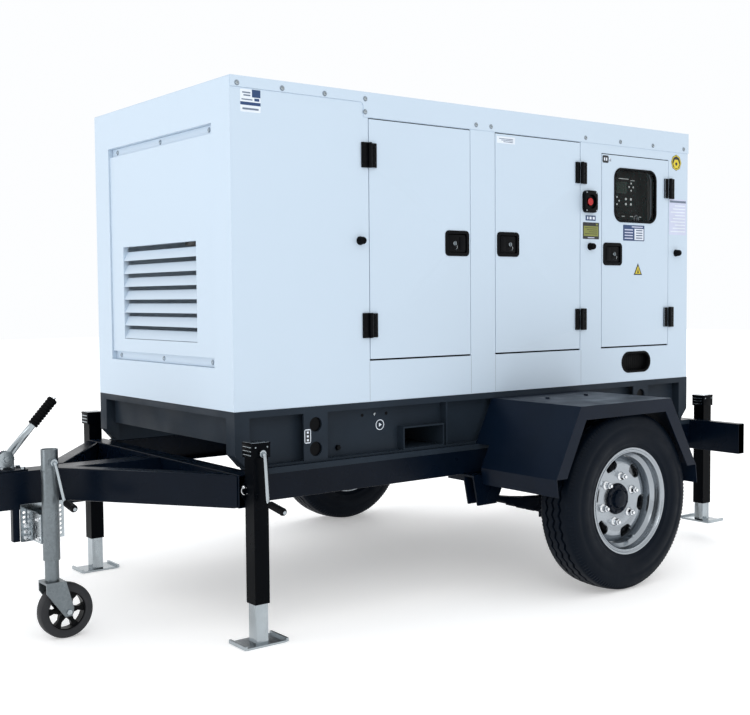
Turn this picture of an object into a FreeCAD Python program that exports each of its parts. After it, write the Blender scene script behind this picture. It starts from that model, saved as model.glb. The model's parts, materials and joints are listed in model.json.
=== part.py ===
import FreeCAD, Part
import math
import os

# Towable diesel generator: a soundproof canopy set on a skid frame, carried by a
# single-axle trailer. Lengths are in millimetres. X points forward along the
# drawbar, Y to the door side, Z up from the ground. X positions are measured from
# the front face of the canopy and moved by the sheet value canopy_front.

V = FreeCAD.Vector

DIMENSIONS = {
    "canopy_front": 808,
    "canopy_length": 2600,
    "wall_outer": 580,
    "wall_inner": 540,
    "canopy_bottom": 812,
    "canopy_top": 2014,
    "roof_underside": 1974,
    "door_gap": 3,
    "door_gap_low": 7,
    "door_gap_top": 4,
    "door_back": 543,
    "door_sill": 973,
    "door_head": 1916,
    "hinge_line": 592,
    "skid_outer": 582,
    "skid_bottom": 600,
    "rail_top": 600,
    "rail_bottom": 480,
    "rail_outer": 600,
    "rail_inner": 540,
    "beam_top": 595,
    "beam_bottom": 457,
    "beam_front": 860,
    "axle_back": -1589,
    "axle_height": 373,
    "wheel_middle": 984,
    "guard_outer": 1090,
    "guard_top": 787,
    "jack_front_x": -14,
    "jack_front_y": 705,
    "jack_rear_x": -2705,
    "jack_rear_y": 600,
    "jack_tube": 60,
    "jack_leg": 50,
    "jockey_x": 540,
    "jockey_y": 200,
    "draw_height": 525,
    "eye_radius": 25,
}

UP = FreeCAD.Rotation()
AIM = {
    "x": FreeCAD.Rotation(V(0, 1, 0), 90),
    "y": FreeCAD.Rotation(V(1, 0, 0), -90),
    "z": UP,
}

doc = FreeCAD.newDocument("TowableGenerator")
sheet = doc.addObject("Spreadsheet::Sheet", "Dims")
for row, (alias, value) in enumerate(DIMENSIONS.items(), start=1):
    sheet.set("A%d" % row, alias)
    sheet.set("B%d" % row, str(value))
    sheet.setAlias("B%d" % row, alias)
doc.recompute()

nodes = []


def place(obj, x, y, z):
    """Bind the position of an object; x is measured from the canopy front."""
    obj.setExpression("Placement.Base.x", "Dims.canopy_front + (%s)" % x)
    obj.setExpression("Placement.Base.y", "%s" % y)
    obj.setExpression("Placement.Base.z", "%s" % z)


def box(x, y, z):
    """Block between three (low, high) pairs of numbers or sheet formulas."""
    obj = doc.addObject("Part::Box", "Block")
    for side, (low, high) in zip(("Length", "Width", "Height"), (x, y, z)):
        obj.setExpression(side, "(%s) - (%s)" % (high, low))
    place(obj, x[0], y[0], z[0])
    return obj


def rod(axis, x, y, z, radius, length):
    """Cylinder that starts at a point and runs along an axis."""
    obj = doc.addObject("Part::Cylinder", "Rod")
    obj.Placement = FreeCAD.Placement(V(), AIM[axis])
    obj.setExpression("Radius", "%s" % radius)
    obj.setExpression("Height", "%s" % length)
    place(obj, x, y, z)
    return obj


def outline(body, role, points):
    """Closed sketch of straight lines on one of the origin planes of a body."""
    sketch = body.newObject("Sketcher::SketchObject", "Outline")
    plane = [f for f in body.Origin.OriginFeatures if f.Role == role][0]
    sketch.AttachmentSupport = [(plane, "")]
    sketch.MapMode = "FlatFace"
    corners = [V(a, b, 0) for a, b in points]
    for start, end in zip(corners, corners[1:] + corners[:1]):
        sketch.addGeometry(Part.LineSegment(start, end), False)
    return sketch


def prism(role, points, low, high):
    """Padded sketch: XZ profiles run along Y, YZ along X and XY along Z."""
    body = doc.addObject("PartDesign::Body", "Prism")
    sketch = outline(body, role + "_Plane", points)
    pad = body.newObject("PartDesign::Pad", "Pad")
    pad.Profile = sketch
    pad.setExpression("Length", "(%s) - (%s)" % (high, low))
    pad.Reversed = role == "XZ"
    body.Tip = pad
    start = {"XZ": (0, low, 0), "YZ": (low, 0, 0), "XY": (0, 0, low)}[role]
    place(body, *start)
    return body


def turned(points, axis, x, y, z):
    """Revolved sketch of (radius, distance along the axis) points."""
    body = doc.addObject("PartDesign::Body", "Turned")
    sketch = outline(body, "XZ_Plane", points)
    spin = body.newObject("PartDesign::Revolution", "Spin")
    spin.Profile = sketch
    spin.ReferenceAxis = (sketch, ["V_Axis"])
    spin.Angle = 360
    body.Tip = spin
    body.Placement = FreeCAD.Placement(V(), AIM[axis])
    place(body, x, y, z)
    return body


def fuse(*parts):
    if len(parts) == 1:
        return parts[0]
    obj = doc.addObject("Part::MultiFuse", "Joined")
    obj.Shapes = list(parts)
    return obj


def group(*parts):
    obj = doc.addObject("Part::Compound", "Set")
    obj.Links = list(parts)
    return obj


def cut(base, *tools):
    obj = doc.addObject("Part::Cut", "Cut")
    obj.Base = base
    obj.Tool = fuse(*tools)
    return obj


def mirror(part):
    """Copy of a part on the other side of the centre plane."""
    obj = doc.addObject("Part::Mirroring", "Mirrored")
    obj.Source = part
    obj.Normal = V(0, 1, 0)
    return obj


def fillet(part, radius, wanted):
    """Round the edges for which wanted(edge) is true."""
    doc.recompute()
    edges = [i for i, e in enumerate(part.Shape.Edges, start=1) if wanted(e)]
    obj = doc.addObject("Part::Fillet", "Rounded")
    obj.Base = part
    obj.Edges = [(i, radius, radius) for i in edges]
    return obj


def along(axis):
    """Test for straight edges that run along one axis."""
    index = "xyz".index(axis)

    def test(edge):
        if not isinstance(edge.Curve, Part.Line):
            return False
        return abs(edge.Curve.Direction[index]) > 0.999
    return test


def rounded(axis, x, y, z, radius):
    return fillet(box(x, y, z), radius, along(axis))


def tube(x, y, z, axis, wall):
    """Rectangular hollow section, open at both ends."""
    inner = []
    for name, (low, high) in zip("xyz", (x, y, z)):
        grow = -1 if name == axis else wall
        inner.append(("(%s) + %s" % (low, grow), "(%s) - %s" % (high, grow)))
    return cut(box(x, y, z), box(*inner))


def add(name, obj):
    obj.Label = name
    nodes.append((name, obj))


# ---------------------------------------------------------------- trailer chassis

RAIL_WALL = 6
JACK_SPIGOT = 20
FIT = 0.05
SWIVEL_HEIGHT = 540


def side_rails():
    height = ("Dims.rail_bottom", "Dims.rail_top")
    rail = cut(
        box((-2600, -45), ("Dims.rail_inner", "Dims.rail_outer"), height),
        box((-2601, -44), ("Dims.rail_inner - 1", "Dims.rail_outer - 6"),
            ("Dims.rail_bottom + 6", "Dims.rail_top - 6")))
    return group(rail, mirror(rail))


def crossmembers():
    front = tube((-45, 30), (-655, 655), (478, 598), "y", 5)
    inner = ("-(Dims.rail_outer - 6)", "Dims.rail_outer - 6")
    middle = [tube((x - 30, x + 30), inner, (488, 588), "y", 5)
              for x in (-700, -1350, -2150)]
    lights = tube((-2645, -2600), (-885, 885), (455, 600), "y", 5)
    return group(front, lights, *middle)


def drawbar_arms():
    plan = [(462, 51), (31, 652), (31, 549), (388, 51)]
    arm = prism("XY", plan, 477, 597)
    return group(arm, mirror(arm))


def drawbar_beam():
    beam = tube((30, "Dims.beam_front"), (-50, 50),
                ("Dims.beam_bottom", "Dims.beam_top"), "x", 6)
    plate = box((598, 624), (22, 50), (337, "Dims.beam_bottom"))
    return fuse(beam, plate)


def jack_mounts():
    """Welded sleeves that the four jack spigots turn in."""
    start = 640
    front = cut(
        rod("y", "Dims.jack_front_x", start, SWIVEL_HEIGHT, 25, 28),
        rod("y", "Dims.jack_front_x", start - 1, SWIVEL_HEIGHT,
            JACK_SPIGOT + FIT, 30))
    rear = cut(
        rod("x", -2668, "Dims.jack_rear_y", SWIVEL_HEIGHT, 30, 23),
        rod("x", -2669, "Dims.jack_rear_y", SWIVEL_HEIGHT,
            JACK_SPIGOT + FIT, 19))
    return group(front, rear, mirror(front), mirror(rear))


def axle_beam():
    beam = box(("Dims.axle_back - 30", "Dims.axle_back + 30"), (-832, 832),
               ("Dims.axle_height - 30", "Dims.axle_height + 30"))
    stub = rod("y", "Dims.axle_back", 830, "Dims.axle_height", 25, 118)
    return fuse(beam, stub, mirror(stub))


def leaf_springs():
    """Underslung leaf packs with their hangers, shackles and U-bolts."""
    middle = DIMENSIONS["axle_back"]
    seat = DIMENSIONS["axle_height"] - 31
    rise = 50 / 410 ** 2
    leaf = 10
    reach = [410, 370, 320, 265, 205, 145]

    def curve(distance, step):
        return seat - leaf * step + rise * distance ** 2

    top = [(d, curve(d, 0)) for d in range(-410, 411, 82)]
    right = []
    for step, distance in enumerate(reach, start=1):
        right.append((distance, curve(distance, step - 1)))
        right.append((distance, curve(distance, step)))
    right = right[1:]
    left = [(-d, z) for d, z in reversed(right)]
    pack = [(middle + d, z) for d, z in top + right + left]
    low, high = 605, 655
    parts = [prism("XZ", pack, low, high)]
    eye_height = curve(410, 0)
    for side in (-1, 1):
        parts.append(rod("y", middle + side * 418, low, eye_height - 5, 20, 50))
    strip = fuse(*parts)
    front_top = [(-1085, 472), (-1275, 472), (-1215, 352), (-1110, 352)]
    rear_top = [(-1935, 472), (-2085, 472), (-2030, 352), (-1985, 352)]
    fixed = []
    for cheek in (front_top, rear_top):
        fixed.append(prism("XZ", cheek, low - 8, low))
        fixed.append(prism("XZ", cheek, high, high + 8))
        ends = (min(p[0] for p in cheek), max(p[0] for p in cheek))
        fixed.append(box(ends, (545, high + 8), (472, "Dims.rail_bottom")))
    bolts = []
    for dx in (-45, 45):
        for y in (low - 8, high + 8):
            bolts.append(rod("z", middle + dx, y, 242, 7, 176))
        bolts.append(box((middle + dx - 7, middle + dx + 7), (low - 8, high + 8),
                         ("Dims.axle_height + 30", "Dims.axle_height + 44")))
    bolts.append(box((middle - 65, middle + 65), (low - 18, high + 18),
                     (seat - leaf * 6 - 14, seat - leaf * 6)))
    spring = fuse(strip, *bolts)
    side = group(spring, *fixed)
    return group(side, mirror(side))


def mudguards():
    """Folded sheet guards with an outer lip and hanging flaps."""
    sheet_thick = 4
    shape = [(-1135, 440), (-1125, 510), (-1265, 787), (-1821, 787),
             (-1994, 488), (-2004, 408)]
    inside = [(-2008 + 8, 408), (-1990, 489), (-1818, 783), (-1267, 783),
              (-1130, 510), (-1139, 440)]
    skin = prism("XZ", shape + inside, "Dims.skid_outer", "Dims.guard_outer")
    lip_in = [(-1935, 488), (-1787, 732), (-1296, 732), (-1186, 510)]
    lip = prism("XZ", shape[1:5] + lip_in, 1090 - sheet_thick, 1090)
    flap = box((-1139, -1135), (445, 596), (440, 470))
    room = box((-2100, -1000), (570, 665), (400, 600))
    return_side = box((-1821, -1265), ("Dims.skid_outer", 586), (704, 783))
    bolts = [rod("z", x, 760, "Dims.guard_top", 9, 7) for x in (-1420, -1660)]
    guard = fuse(cut(skin, room), lip, return_side, *bolts)
    side = group(guard, flap)
    return group(side, mirror(side))


# ---------------------------------------------------------------------- drawbar

SHAFT = 30
JOCKEY_CRANK = 645


def coupling_housing():
    """Overrun coupling body with the handbrake bracket on the beam behind it."""
    front = 1040
    flange = box(("Dims.beam_front", 875), (-80, 80), (440, 612))
    body = rounded("x", (875, front), (-56, 56), (466, 584), 20)
    nose = rod("x", front, 0, "Dims.draw_height", 44, 14)
    bore = rod("x", 872, 0, "Dims.draw_height", SHAFT + FIT, 190)
    cheeks = [(596, 595), (664, 595), (650, 655), (612, 655)]
    left = prism("XZ", cheeks, 6.5, 12.5)
    right = prism("XZ", cheeks, -12.5, -6.5)
    pin = rod("y", 630, -18, 640, 8, 36)
    foot = box((560, 700), (-42, 42), ("Dims.beam_top", 601))
    housing = cut(fuse(flange, body, nose), bore)
    return group(housing, fuse(left, right, pin, foot))


def tow_eye():
    """Sliding draw shaft with a 50 mm eye."""
    shaft = rod("x", 940, 0, "Dims.draw_height", SHAFT, 176)
    neck = box((1110, 1135), (-34, 34), (503, 547))
    ring = rod("z", 1170, 0, 503, 60, 44)
    eye = rod("z", 1170, 0, 500, "Dims.eye_radius", 50)
    return cut(fuse(shaft, neck, ring), eye)


def handbrake_lever():
    """Hand lever drawn along X from its pivot, then leaned back to its place."""
    bar = doc.addObject("Part::Box", "Bar")
    bar.Length, bar.Width, bar.Height = 185, 12, 28
    bar.Placement.Base = V(-18, -6, -14)
    boss = doc.addObject("Part::Cylinder", "Boss")
    boss.Radius, boss.Height = 22, 12
    boss.Placement = FreeCAD.Placement(V(0, -6, 0), AIM["y"])
    grip = doc.addObject("Part::Cylinder", "Grip")
    grip.Radius, grip.Height = 20, 122
    grip.Placement = FreeCAD.Placement(V(158, 0, 0), AIM["x"])
    knob = doc.addObject("Part::Cylinder", "Knob")
    knob.Radius, knob.Height = 7, 10
    knob.Placement = FreeCAD.Placement(V(280, 0, 0), AIM["x"])
    hole = doc.addObject("Part::Cylinder", "PivotHole")
    hole.Radius, hole.Height = 8 + FIT, 20
    hole.Placement = FreeCAD.Placement(V(0, -10, 0), AIM["y"])
    lever = cut(fuse(bar, boss, grip, knob), hole)
    lean = math.degrees(math.atan2(210, -188))
    lever.Placement.Rotation = FreeCAD.Rotation(V(0, 1, 0), -lean)
    place(lever, 630, 0, 640)
    return lever


def jockey_clamp():
    """Clamp plate, channel bracket and fixed outer tube of the jockey wheel."""
    x, y = "Dims.jockey_x", "Dims.jockey_y"
    outer = rod("z", x, y, 290, 30, 400)
    plate = box((433, 598), (50, 58), (336, 475))
    web = box(("Dims.jockey_x - 36", "Dims.jockey_x + 36"), (58, 66), (350, 456))
    flanges = [box(span, (58, "Dims.jockey_y - 6"), (350, 456))
               for span in (("Dims.jockey_x - 36", "Dims.jockey_x - 28"),
                            ("Dims.jockey_x + 28", "Dims.jockey_x + 36"))]
    boss = rod("y", x, "Dims.jockey_y + 20", JOCKEY_CRANK, 15, 16)
    bore = rod("z", x, y, 280, 26, 420)
    plug = rod("z", x, y, 674, 26, 6)
    shaft = rod("y", x, "Dims.jockey_y + 18", JOCKEY_CRANK, 8 + FIT, 30)
    bolts = [rod("y", 580, 58, z, 9, 8) for z in (352, 374, 396)]
    clamp = cut(fuse(outer, plate, web, boss, *flanges, *bolts), bore, shaft)
    return fuse(clamp, plug)


def jockey_stem():
    x, y = "Dims.jockey_x", "Dims.jockey_y"
    return cut(rod("z", x, y, 216, 25, 384),
               rod("z", x, y, 256, 21, 400),
               rod("z", x, y, 215, 12 + FIT, 42))


def jockey_fork():
    """Castor fork: the axle trails behind the swivel pin."""
    x, y = "Dims.jockey_x", "Dims.jockey_y"
    pin = rod("z", x, y, 206, 12, 44)
    top = box(("Dims.jockey_x - 36", "Dims.jockey_x + 36"),
              ("Dims.jockey_y - 40", "Dims.jockey_y + 40"), (206, 214))
    side = [(576, 214), (504, 214), (476, 112), (482, 84), (510, 84), (576, 176)]
    cheeks = [prism("XZ", side, 200 + low, 200 + low + 6) for low in (34, -40)]
    axle = rod("y", 495, 200 - 44, 100, 8, 88)
    return fuse(pin, top, axle, *cheeks)


def jockey_wheel():
    tread = turned([(22, -24), (30, -24), (36, -12), (72, -12), (76, -24),
                    (96, -24), (100, -18), (100, 18), (96, 24), (76, 24),
                    (72, 12), (36, 12), (30, 24), (22, 24)],
                   "y", 495, 200, 100)
    hub = rod("y", 495, 200 - 32, 100, 23, 64)
    windows = []
    for i in range(6):
        turn = math.radians(60 * i)
        windows.append(rod("y", 495 + 54 * math.cos(turn), 180,
                           100 + 54 * math.sin(turn), 12, 40))
    return cut(fuse(tread, hub), rod("y", 495, 150, 100, 8 + FIT, 100), *windows)


def crank(x, y, z, drop, lean, grip_long):
    """Side crank: shaft out along Y, arm down and back, handle out again."""
    turn = math.radians(lean)
    back, down = math.sin(turn), math.cos(turn)

    def spot(along_arm, beside):
        return (x - back * along_arm - down * beside,
                z - down * along_arm + back * beside)

    end = spot(drop, 0)
    shaft = rod("y", x, y, z, 8, 36)
    profile = [spot(-13, -11), spot(-13, 11), spot(drop + 11, 11),
               spot(drop + 11, -11)]
    arm = prism("XZ", profile, "(%s) + 26" % y, "(%s) + 34" % y)
    stem = rod("y", end[0], "(%s) + 34" % y, end[1], 6, grip_long + 8)
    grip = rod("y", end[0], "(%s) + 42" % y, end[1], 14, grip_long)
    return fuse(shaft, arm, stem, grip)


# ------------------------------------------------------------------------ jacks

def jack_parts(x, y, bottom, foot, leg_long, spigot_axis):
    """Outer tube, sliding leg and crank of one parking jack.

    A front jack turns on a spigot along Y and is cranked from its outer side. A
    rear jack turns on a spigot along X and is cranked from behind.
    """
    def across(centre, half):
        return ("%s - %g" % (centre, half), "%s + %g" % (centre, half))

    outer = box(across(x, 30), across(y, 30), (bottom, 700))
    head = box(across(x, 37), across(y, 34), (664, 717))
    bore = box(across(x, 26), across(y, 26), (bottom - 1, 690))
    if spigot_axis == "y":
        flange = rod("y", x, "%s - 36" % y, SWIVEL_HEIGHT, 44, 8)
        spigot = rod("y", x, "%s - 64" % y, SWIVEL_HEIGHT, JACK_SPIGOT, 35)
    else:
        flange = rod("x", "%s + 28" % x, y, SWIVEL_HEIGHT, 44, 8)
        spigot = rod("x", "%s + 30" % x, y, SWIVEL_HEIGHT, JACK_SPIGOT, 24)
    leg = cut(box(across(x, 25), across(y, 25), (foot + 6, foot + leg_long)),
              box(across(x, 21), across(y, 21), (foot + 10, foot + leg_long + 1)))
    if spigot_axis == "y":
        socket = rod("y", x, "%s + 20" % y, 680, 8 + FIT, 20)
        plate = foot_plate(across(x, 80), across(y, 57), x, y, foot)
        handle = crank(DIMENSIONS["jack_front_x"], "%s + 27" % y, 680, 175, 3, 100)
    else:
        socket = rod("x", "%s - 40" % x, y, 680, 8 + FIT, 20)
        plate = foot_plate(across(x, 57), across(y, 80), x, y, foot)
        handle = rear_crank(x, y)
    body = cut(fuse(outer, head, flange, spigot), bore, socket)
    return body, fuse(leg, plate), handle


def foot_plate(along_x, along_y, x, y, foot):
    """Jack foot plate with its two short ends turned up."""
    flat = box(along_x, along_y, (foot, foot + 8))
    height = (foot + 2, foot + 16)
    ends = []
    for side in (-1, 1):
        reach = sorted((side * 80, side * 90))
        if "80" in along_x[0]:
            span = tuple("%s + %g" % (x, value) for value in reach)
            ends.append(box(span, along_y, height))
        else:
            span = tuple("%s + %g" % (y, value) for value in reach)
            ends.append(box(along_x, span, height))
    return fuse(flat, *ends)


def rear_crank(x, y):
    """Crank of a rear jack: shaft out along -X, arm down, handle out again."""
    def back(start, end):
        return ("%s - %g" % (x, end), "%s - %g" % (x, start))

    shaft = rod("x", "%s - 65" % x, y, 680, 8, 36)
    arm = box(back(55, 63), ("%s - 11" % y, "%s + 11" % y), (494, 693))
    stem = rod("x", "%s - 141" % x, y, 505, 6, 80)
    grip = rod("x", "%s - 141" % x, y, 505, 14, 72)
    return fuse(shaft, arm, stem, grip)


def jacks():
    corners = {
        "front": ("Dims.jack_front_x", "Dims.jack_front_y", 145, 0, 560, "y"),
        "rear": ("Dims.jack_rear_x", "Dims.jack_rear_y", 170, 80, 500, "x"),
    }
    for corner, values in corners.items():
        parts = jack_parts(*values)
        for kind, part in zip(("tube", "leg", "crank"), parts):
            add("jack_%s_left_%s" % (corner, kind), part)
            add("jack_%s_right_%s" % (corner, kind), mirror(part))


# ----------------------------------------------------------------------- wheels

def road_tyre():
    """6.50-16 tyre as (radius, offset) points around its middle plane."""
    half = [(204.3, 69), (223, 76), (226, 83), (250, 90), (290, 93), (325, 91), (350, 84),
            (366, 70), (373, 52)]
    points = [(r, -a) for r, a in half] + [(r, a) for r, a in reversed(half)]
    return turned(points, "y", "Dims.axle_back", "Dims.wheel_middle",
                  "Dims.axle_height")


def road_rim():
    """16 inch rim with its disc, hub, drum and wheel nuts."""
    at = ("Dims.axle_back", "Dims.wheel_middle", "Dims.axle_height")
    tyre_side = [(222, 82), (222, 77), (204, 70), (204, 42), (186, 32)]
    bore_side = [(216, 82), (214, 80), (198, 73), (198, 46), (180, 34)]
    barrel = turned(tyre_side + [(r, -a) for r, a in reversed(tyre_side)]
                    + [(r, -a) for r, a in bore_side]
                    + list(reversed(bore_side)), "y", *at)
    disc = turned([(60, 4), (118, 4), (150, 10), (181, -8), (181, 2),
                   (152, 20), (118, 14), (60, 14)], "y", *at)
    hub = turned([(25 + FIT, -112), (168, -112), (168, -42), (105, -36), (105, 4),
                  (64, 4), (64, 28), (56, 36), (0, 36), (0, -30),
                  (25 + FIT, -30)], "y", *at)
    nuts = []
    holes = []
    for i in range(6):
        turn = math.radians(60 * i + 42)
        side = (95 * math.cos(turn), 95 * math.sin(turn))
        nuts.append(rod("y", "Dims.axle_back + %g" % side[0],
                        "Dims.wheel_middle + 10",
                        "Dims.axle_height + %g" % side[1], 14, 28))
        holes.append(hand_hole(math.radians(60 * i + 12)))
    return fuse(cut(fuse(barrel, disc), *holes), hub, *nuts)


def hand_hole(turn):
    """Obround ventilation hole through the wheel disc."""
    middle = 147
    spread = math.radians(5.1)
    ends = []
    for angle in (turn - spread, turn + spread):
        ends.append(rod("y", "Dims.axle_back + %g" % (middle * math.cos(angle)),
                        "Dims.wheel_middle - 15",
                        "Dims.axle_height + %g" % (middle * math.sin(angle)),
                        18, 50))
    link = doc.addObject("Part::Box", "Link")
    link.Length, link.Width, link.Height = 36, 50, 26
    spin = FreeCAD.Rotation(V(0, 1, 0), -math.degrees(turn))
    offset = spin.multVec(V(middle - 18, 0, -13))
    link.Placement = FreeCAD.Placement(V(), spin)
    place(link, "Dims.axle_back + %g" % offset.x, "Dims.wheel_middle - 15",
          "Dims.axle_height + %g" % offset.z)
    return fuse(link, *ends)


# ------------------------------------------------------------------------- skid

POCKETS = ((-996, -779), (-1821, -1604))
POCKET_TOP = 700


def skid_frame():
    """Welded base with recessed sides, lift plates and two fork pockets."""
    top = (787, "Dims.canopy_bottom")
    side_rail = box((-2600, 0), (520, "Dims.skid_outer"), top)
    web = box((-2560, -40), (536, 542), (606, 790))
    foot = box((-2558, -45), (536, "Dims.skid_outer"), ("Dims.skid_bottom", 608))
    front_post = [(0, 790), (0, 655), (-45, 605), (-62, 605), (-62, 790)]
    rear_post = [(-2600 - x, z) for x, z in front_post]
    posts = [prism("XZ", post, 520, 582) for post in (front_post, rear_post)]
    plates = []
    for x in (-408, -2302):
        plate = box((x, x + 110), (574, "Dims.skid_outer"), (606, 790))
        holes = [rod("y", x + 55, 560, z, 28, 40) for z in (743, 650)]
        plates.append(cut(plate, *holes))
    ribs = [box((x, x + 8), (540, 580), (606, 790)) for x in (-1016, -1300, -1584)]
    side = fuse(side_rail, web, foot, *posts, *plates, *ribs)
    ends = [box((-40, 0), (-521, 521), top), box((-2600, -2560), (-521, 521), top),
            box((-46, -40), (-540, 540), (682, 790)),
            box((-2560, -2554), (-540, 540), (682, 790))]
    beams = [box((-2556, -44), (y, y + 40), (706, "Dims.canopy_bottom"))
             for y in (300, -340)]
    frame = fuse(side, mirror(side), *ends, *beams)
    width = ("-Dims.skid_outer", "Dims.skid_outer")
    for pocket in POCKETS:
        frame = fuse(cut(frame, box(pocket, width, (607, POCKET_TOP))),
                     tube(pocket, width, (607, POCKET_TOP), "y", 6))
    return frame


def fuel_tank():
    tank = rounded("y", (-1590, -1018), (-520, 520), (620, 700), 12)
    ledge = box((-1590, -1018), (-340, -300), (698, 706))
    return fuse(tank, ledge, mirror(ledge))


# ----------------------------------------------------------------------- canopy

OPENINGS = {
    "front": (-1149, -615, "Dims.door_sill", "Dims.door_head"),
    "mid": (-1822, -1289, "Dims.door_sill", "Dims.door_head"),
    "control": (-2452, -1964, 975, 1877),
}
HINGES = {
    "front": (-615, 1, (1723, 1063)),
    "mid": (-1822, -1, (1728, 1065)),
    "control": (-2452, -1, (1689, 1065)),
}
LATCHES = {
    "front": (-1138, 1390, 110),
    "mid": (-1430, 1392, 20),
    "control": (-2106, 1362, 20),
}
HINGE_HIGH = 98
LATCH_WIDE, LATCH_HIGH = 130, 104


def roof():
    """Lid with turned-down side lips that step behind the front corner."""
    lid = box((-2602, 2), (-583, 583), ("Dims.roof_underside", "Dims.canopy_top"))
    high = DIMENSIONS["canopy_top"] - 1
    lid = fillet(lid, 9, lambda edge: edge.BoundBox.ZMin > high)
    lip = box((-2602, -590), ("Dims.wall_outer", 583),
              (1918, "Dims.roof_underside"))
    return group(lid, lip, mirror(lip))


def door_openings(names):
    thick = ("Dims.wall_inner - 1", "Dims.wall_outer + 1")
    holes = []
    for name in names:
        low, high, sill, head = OPENINGS[name]
        holes.append(box((low, high), thick, (sill, head)))
    return holes


def side_wall(names, with_cable_outlet):
    wall = box(("-Dims.canopy_length", 0), ("Dims.wall_inner", "Dims.wall_outer"),
               ("Dims.canopy_bottom", "Dims.roof_underside"))
    tools = door_openings(names)
    if with_cable_outlet:
        tools.append(rounded("y", (-2313, -2114), (530, 590), (856, 949), 46))
    return cut(wall, *tools)


def front_wall():
    wall = box((-40, 0), ("-Dims.wall_inner", "Dims.wall_inner"),
               ("Dims.canopy_bottom", "Dims.roof_underside"))
    return cut(wall, box((-41, 1), (-445, 445), (966, 1860)))


def louvre_blades(side, bottom, count, pitch):
    """Slanted blades between two Y values, each leaning in from its lower edge."""
    blades = []
    for i in range(count):
        low = bottom + pitch * i
        profile = [(-7, low), (-10, low), (-30, low + 35), (-27, low + 38)]
        blades.append(prism("XZ", profile, *side))
    return blades


def front_louvre_panel():
    """Removable radiator panel: screw bands set back, seven louvre blades."""
    panel = box((-30, -6), (-444, 444), (967, 1859))
    bands = [box((-20, 0), (-445, 445), span) for span in ((1824, 1860), (966, 1002))]
    panel = cut(panel, box((-31, 0), (-330, 305), (1056, 1440)), *bands)
    blades = louvre_blades((-330, 305), 1058, 7, 54)
    screws = []
    for y in (-395, 0, 395):
        for z in (984, 1842):
            screws.append(rod("x", -20, y, z, 7, 3))
    return group(fuse(panel, *screws), *blades)


def rear_wall():
    """Rear wall with two air inlets behind louvre blades."""
    wall = box(("-Dims.canopy_length", -2560),
               ("-Dims.wall_inner", "Dims.wall_inner"),
               ("Dims.canopy_bottom", "Dims.roof_underside"))
    inlets = []
    blades = []
    for y in (-410, 70):
        inlets.append(box((-2601, -2559), (y, y + 340), (1150, 1636)))
        for i in range(9):
            low = 1152 + 54 * i
            profile = [(-2593, low), (-2590, low), (-2570, low + 35),
                       (-2573, low + 38)]
            blades.append(prism("XZ", profile, y, y + 340))
    return group(cut(wall, *inlets), *blades)


def door(name, with_window):
    """Foam-filled door with its hinge leaves and latch dish."""
    low, high, sill, head = OPENINGS[name]
    line, outward, hinge_feet = HINGES[name]
    gap = "Dims.door_gap"
    slab = box(("%s + %s" % (low, gap), "%s - %s" % (high, gap)),
               ("Dims.door_back", "Dims.wall_outer"),
               ("%s + Dims.door_gap_low" % sill, "%s - Dims.door_gap_top" % head))
    leaves = []
    for z in hinge_feet:
        span = sorted((line - outward * 10, line - outward * 36))
        leaves.append(box(span, ("Dims.wall_outer", 588), (z + 1, z + HINGE_HIGH - 1)))
    x, z, pivot = LATCHES[name]
    bezel = rounded("y", (x, x + LATCH_WIDE), (570, 583), (z, z + LATCH_HIGH), 18)
    dish = box((x + 13, x + LATCH_WIDE - 13), (561, 584),
               (z + 13, z + LATCH_HIGH - 13))
    tools = [dish, rod("z", x + pivot, 576, z + 9.5, 3 + FIT, 85)]
    if with_window:
        tools.append(rounded("y", (-2358, -2051), (540, 590), (1564, 1818), 50))
    return cut(fuse(slab, bezel, *leaves), *tools)


def latch(name):
    """Paddle with its lock barrel, hinged on two pins inside the dish."""
    x, z, pivot = LATCHES[name]
    paddle = box((x + 16, x + LATCH_WIDE - 16), (572, 580),
                 (z + 16, z + LATCH_HIGH - 16))
    barrel = rod("y", x + LATCH_WIDE / 2, 578, z + 34, 11, 5)
    pin = rod("z", x + pivot, 576, z + 10, 3, 84)
    return fuse(paddle, barrel, pin)


def hinge_wall_leaves():
    """Canopy-side hinge leaves with their knuckles."""
    leaves = []
    for name, (line, outward, feet) in HINGES.items():
        for z in feet:
            span = sorted((line, line + outward * 36))
            leaf = box(span, ("Dims.wall_outer", 588), (z, z + HINGE_HIGH))
            knuckle = rod("z", line, "Dims.hinge_line", z, 8, HINGE_HIGH)
            piece = fuse(leaf, knuckle)
            leaves.append(piece)
            if name != "control":
                leaves.append(mirror(piece))
    return group(*leaves)


def rubber_bumpers():
    spots = ((-571, 1441), (-1886, 1446), (-2509, 1427))
    left = [rod("y", x, "Dims.wall_outer", z, 17, 28) for x, z in spots]
    return group(*left, *[mirror(part) for part in left[:2]])


def control_window():
    """Sealed inspection window: rubber frame around a flat pane."""
    frame = rounded("y", (-2358, -2051), (566, 585), (1564, 1818), 50)
    return cut(frame, rounded("y", (-2338, -2071), (572, 590), (1584, 1798), 34))


STOP_X = -1876


def e_stop_box():
    """Tall switch case with a round well that the button sits in."""
    case = rounded("y", (-1918, -1834), ("Dims.wall_outer", 600), (1599, 1700), 16)
    well = rod("y", STOP_X, 585, 1649, 33, 20)
    return cut(case, well, rod("y", STOP_X, 580.8, 1649, 8 + FIT, 20))


def e_stop_button():
    return fuse(rod("y", STOP_X, 584.4, 1649, 8, 6),
                rod("y", STOP_X, 589, 1649, 17, 5.5))


# --------------------------------------------------------------------- internals

FAN_HEIGHT = 1200


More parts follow.
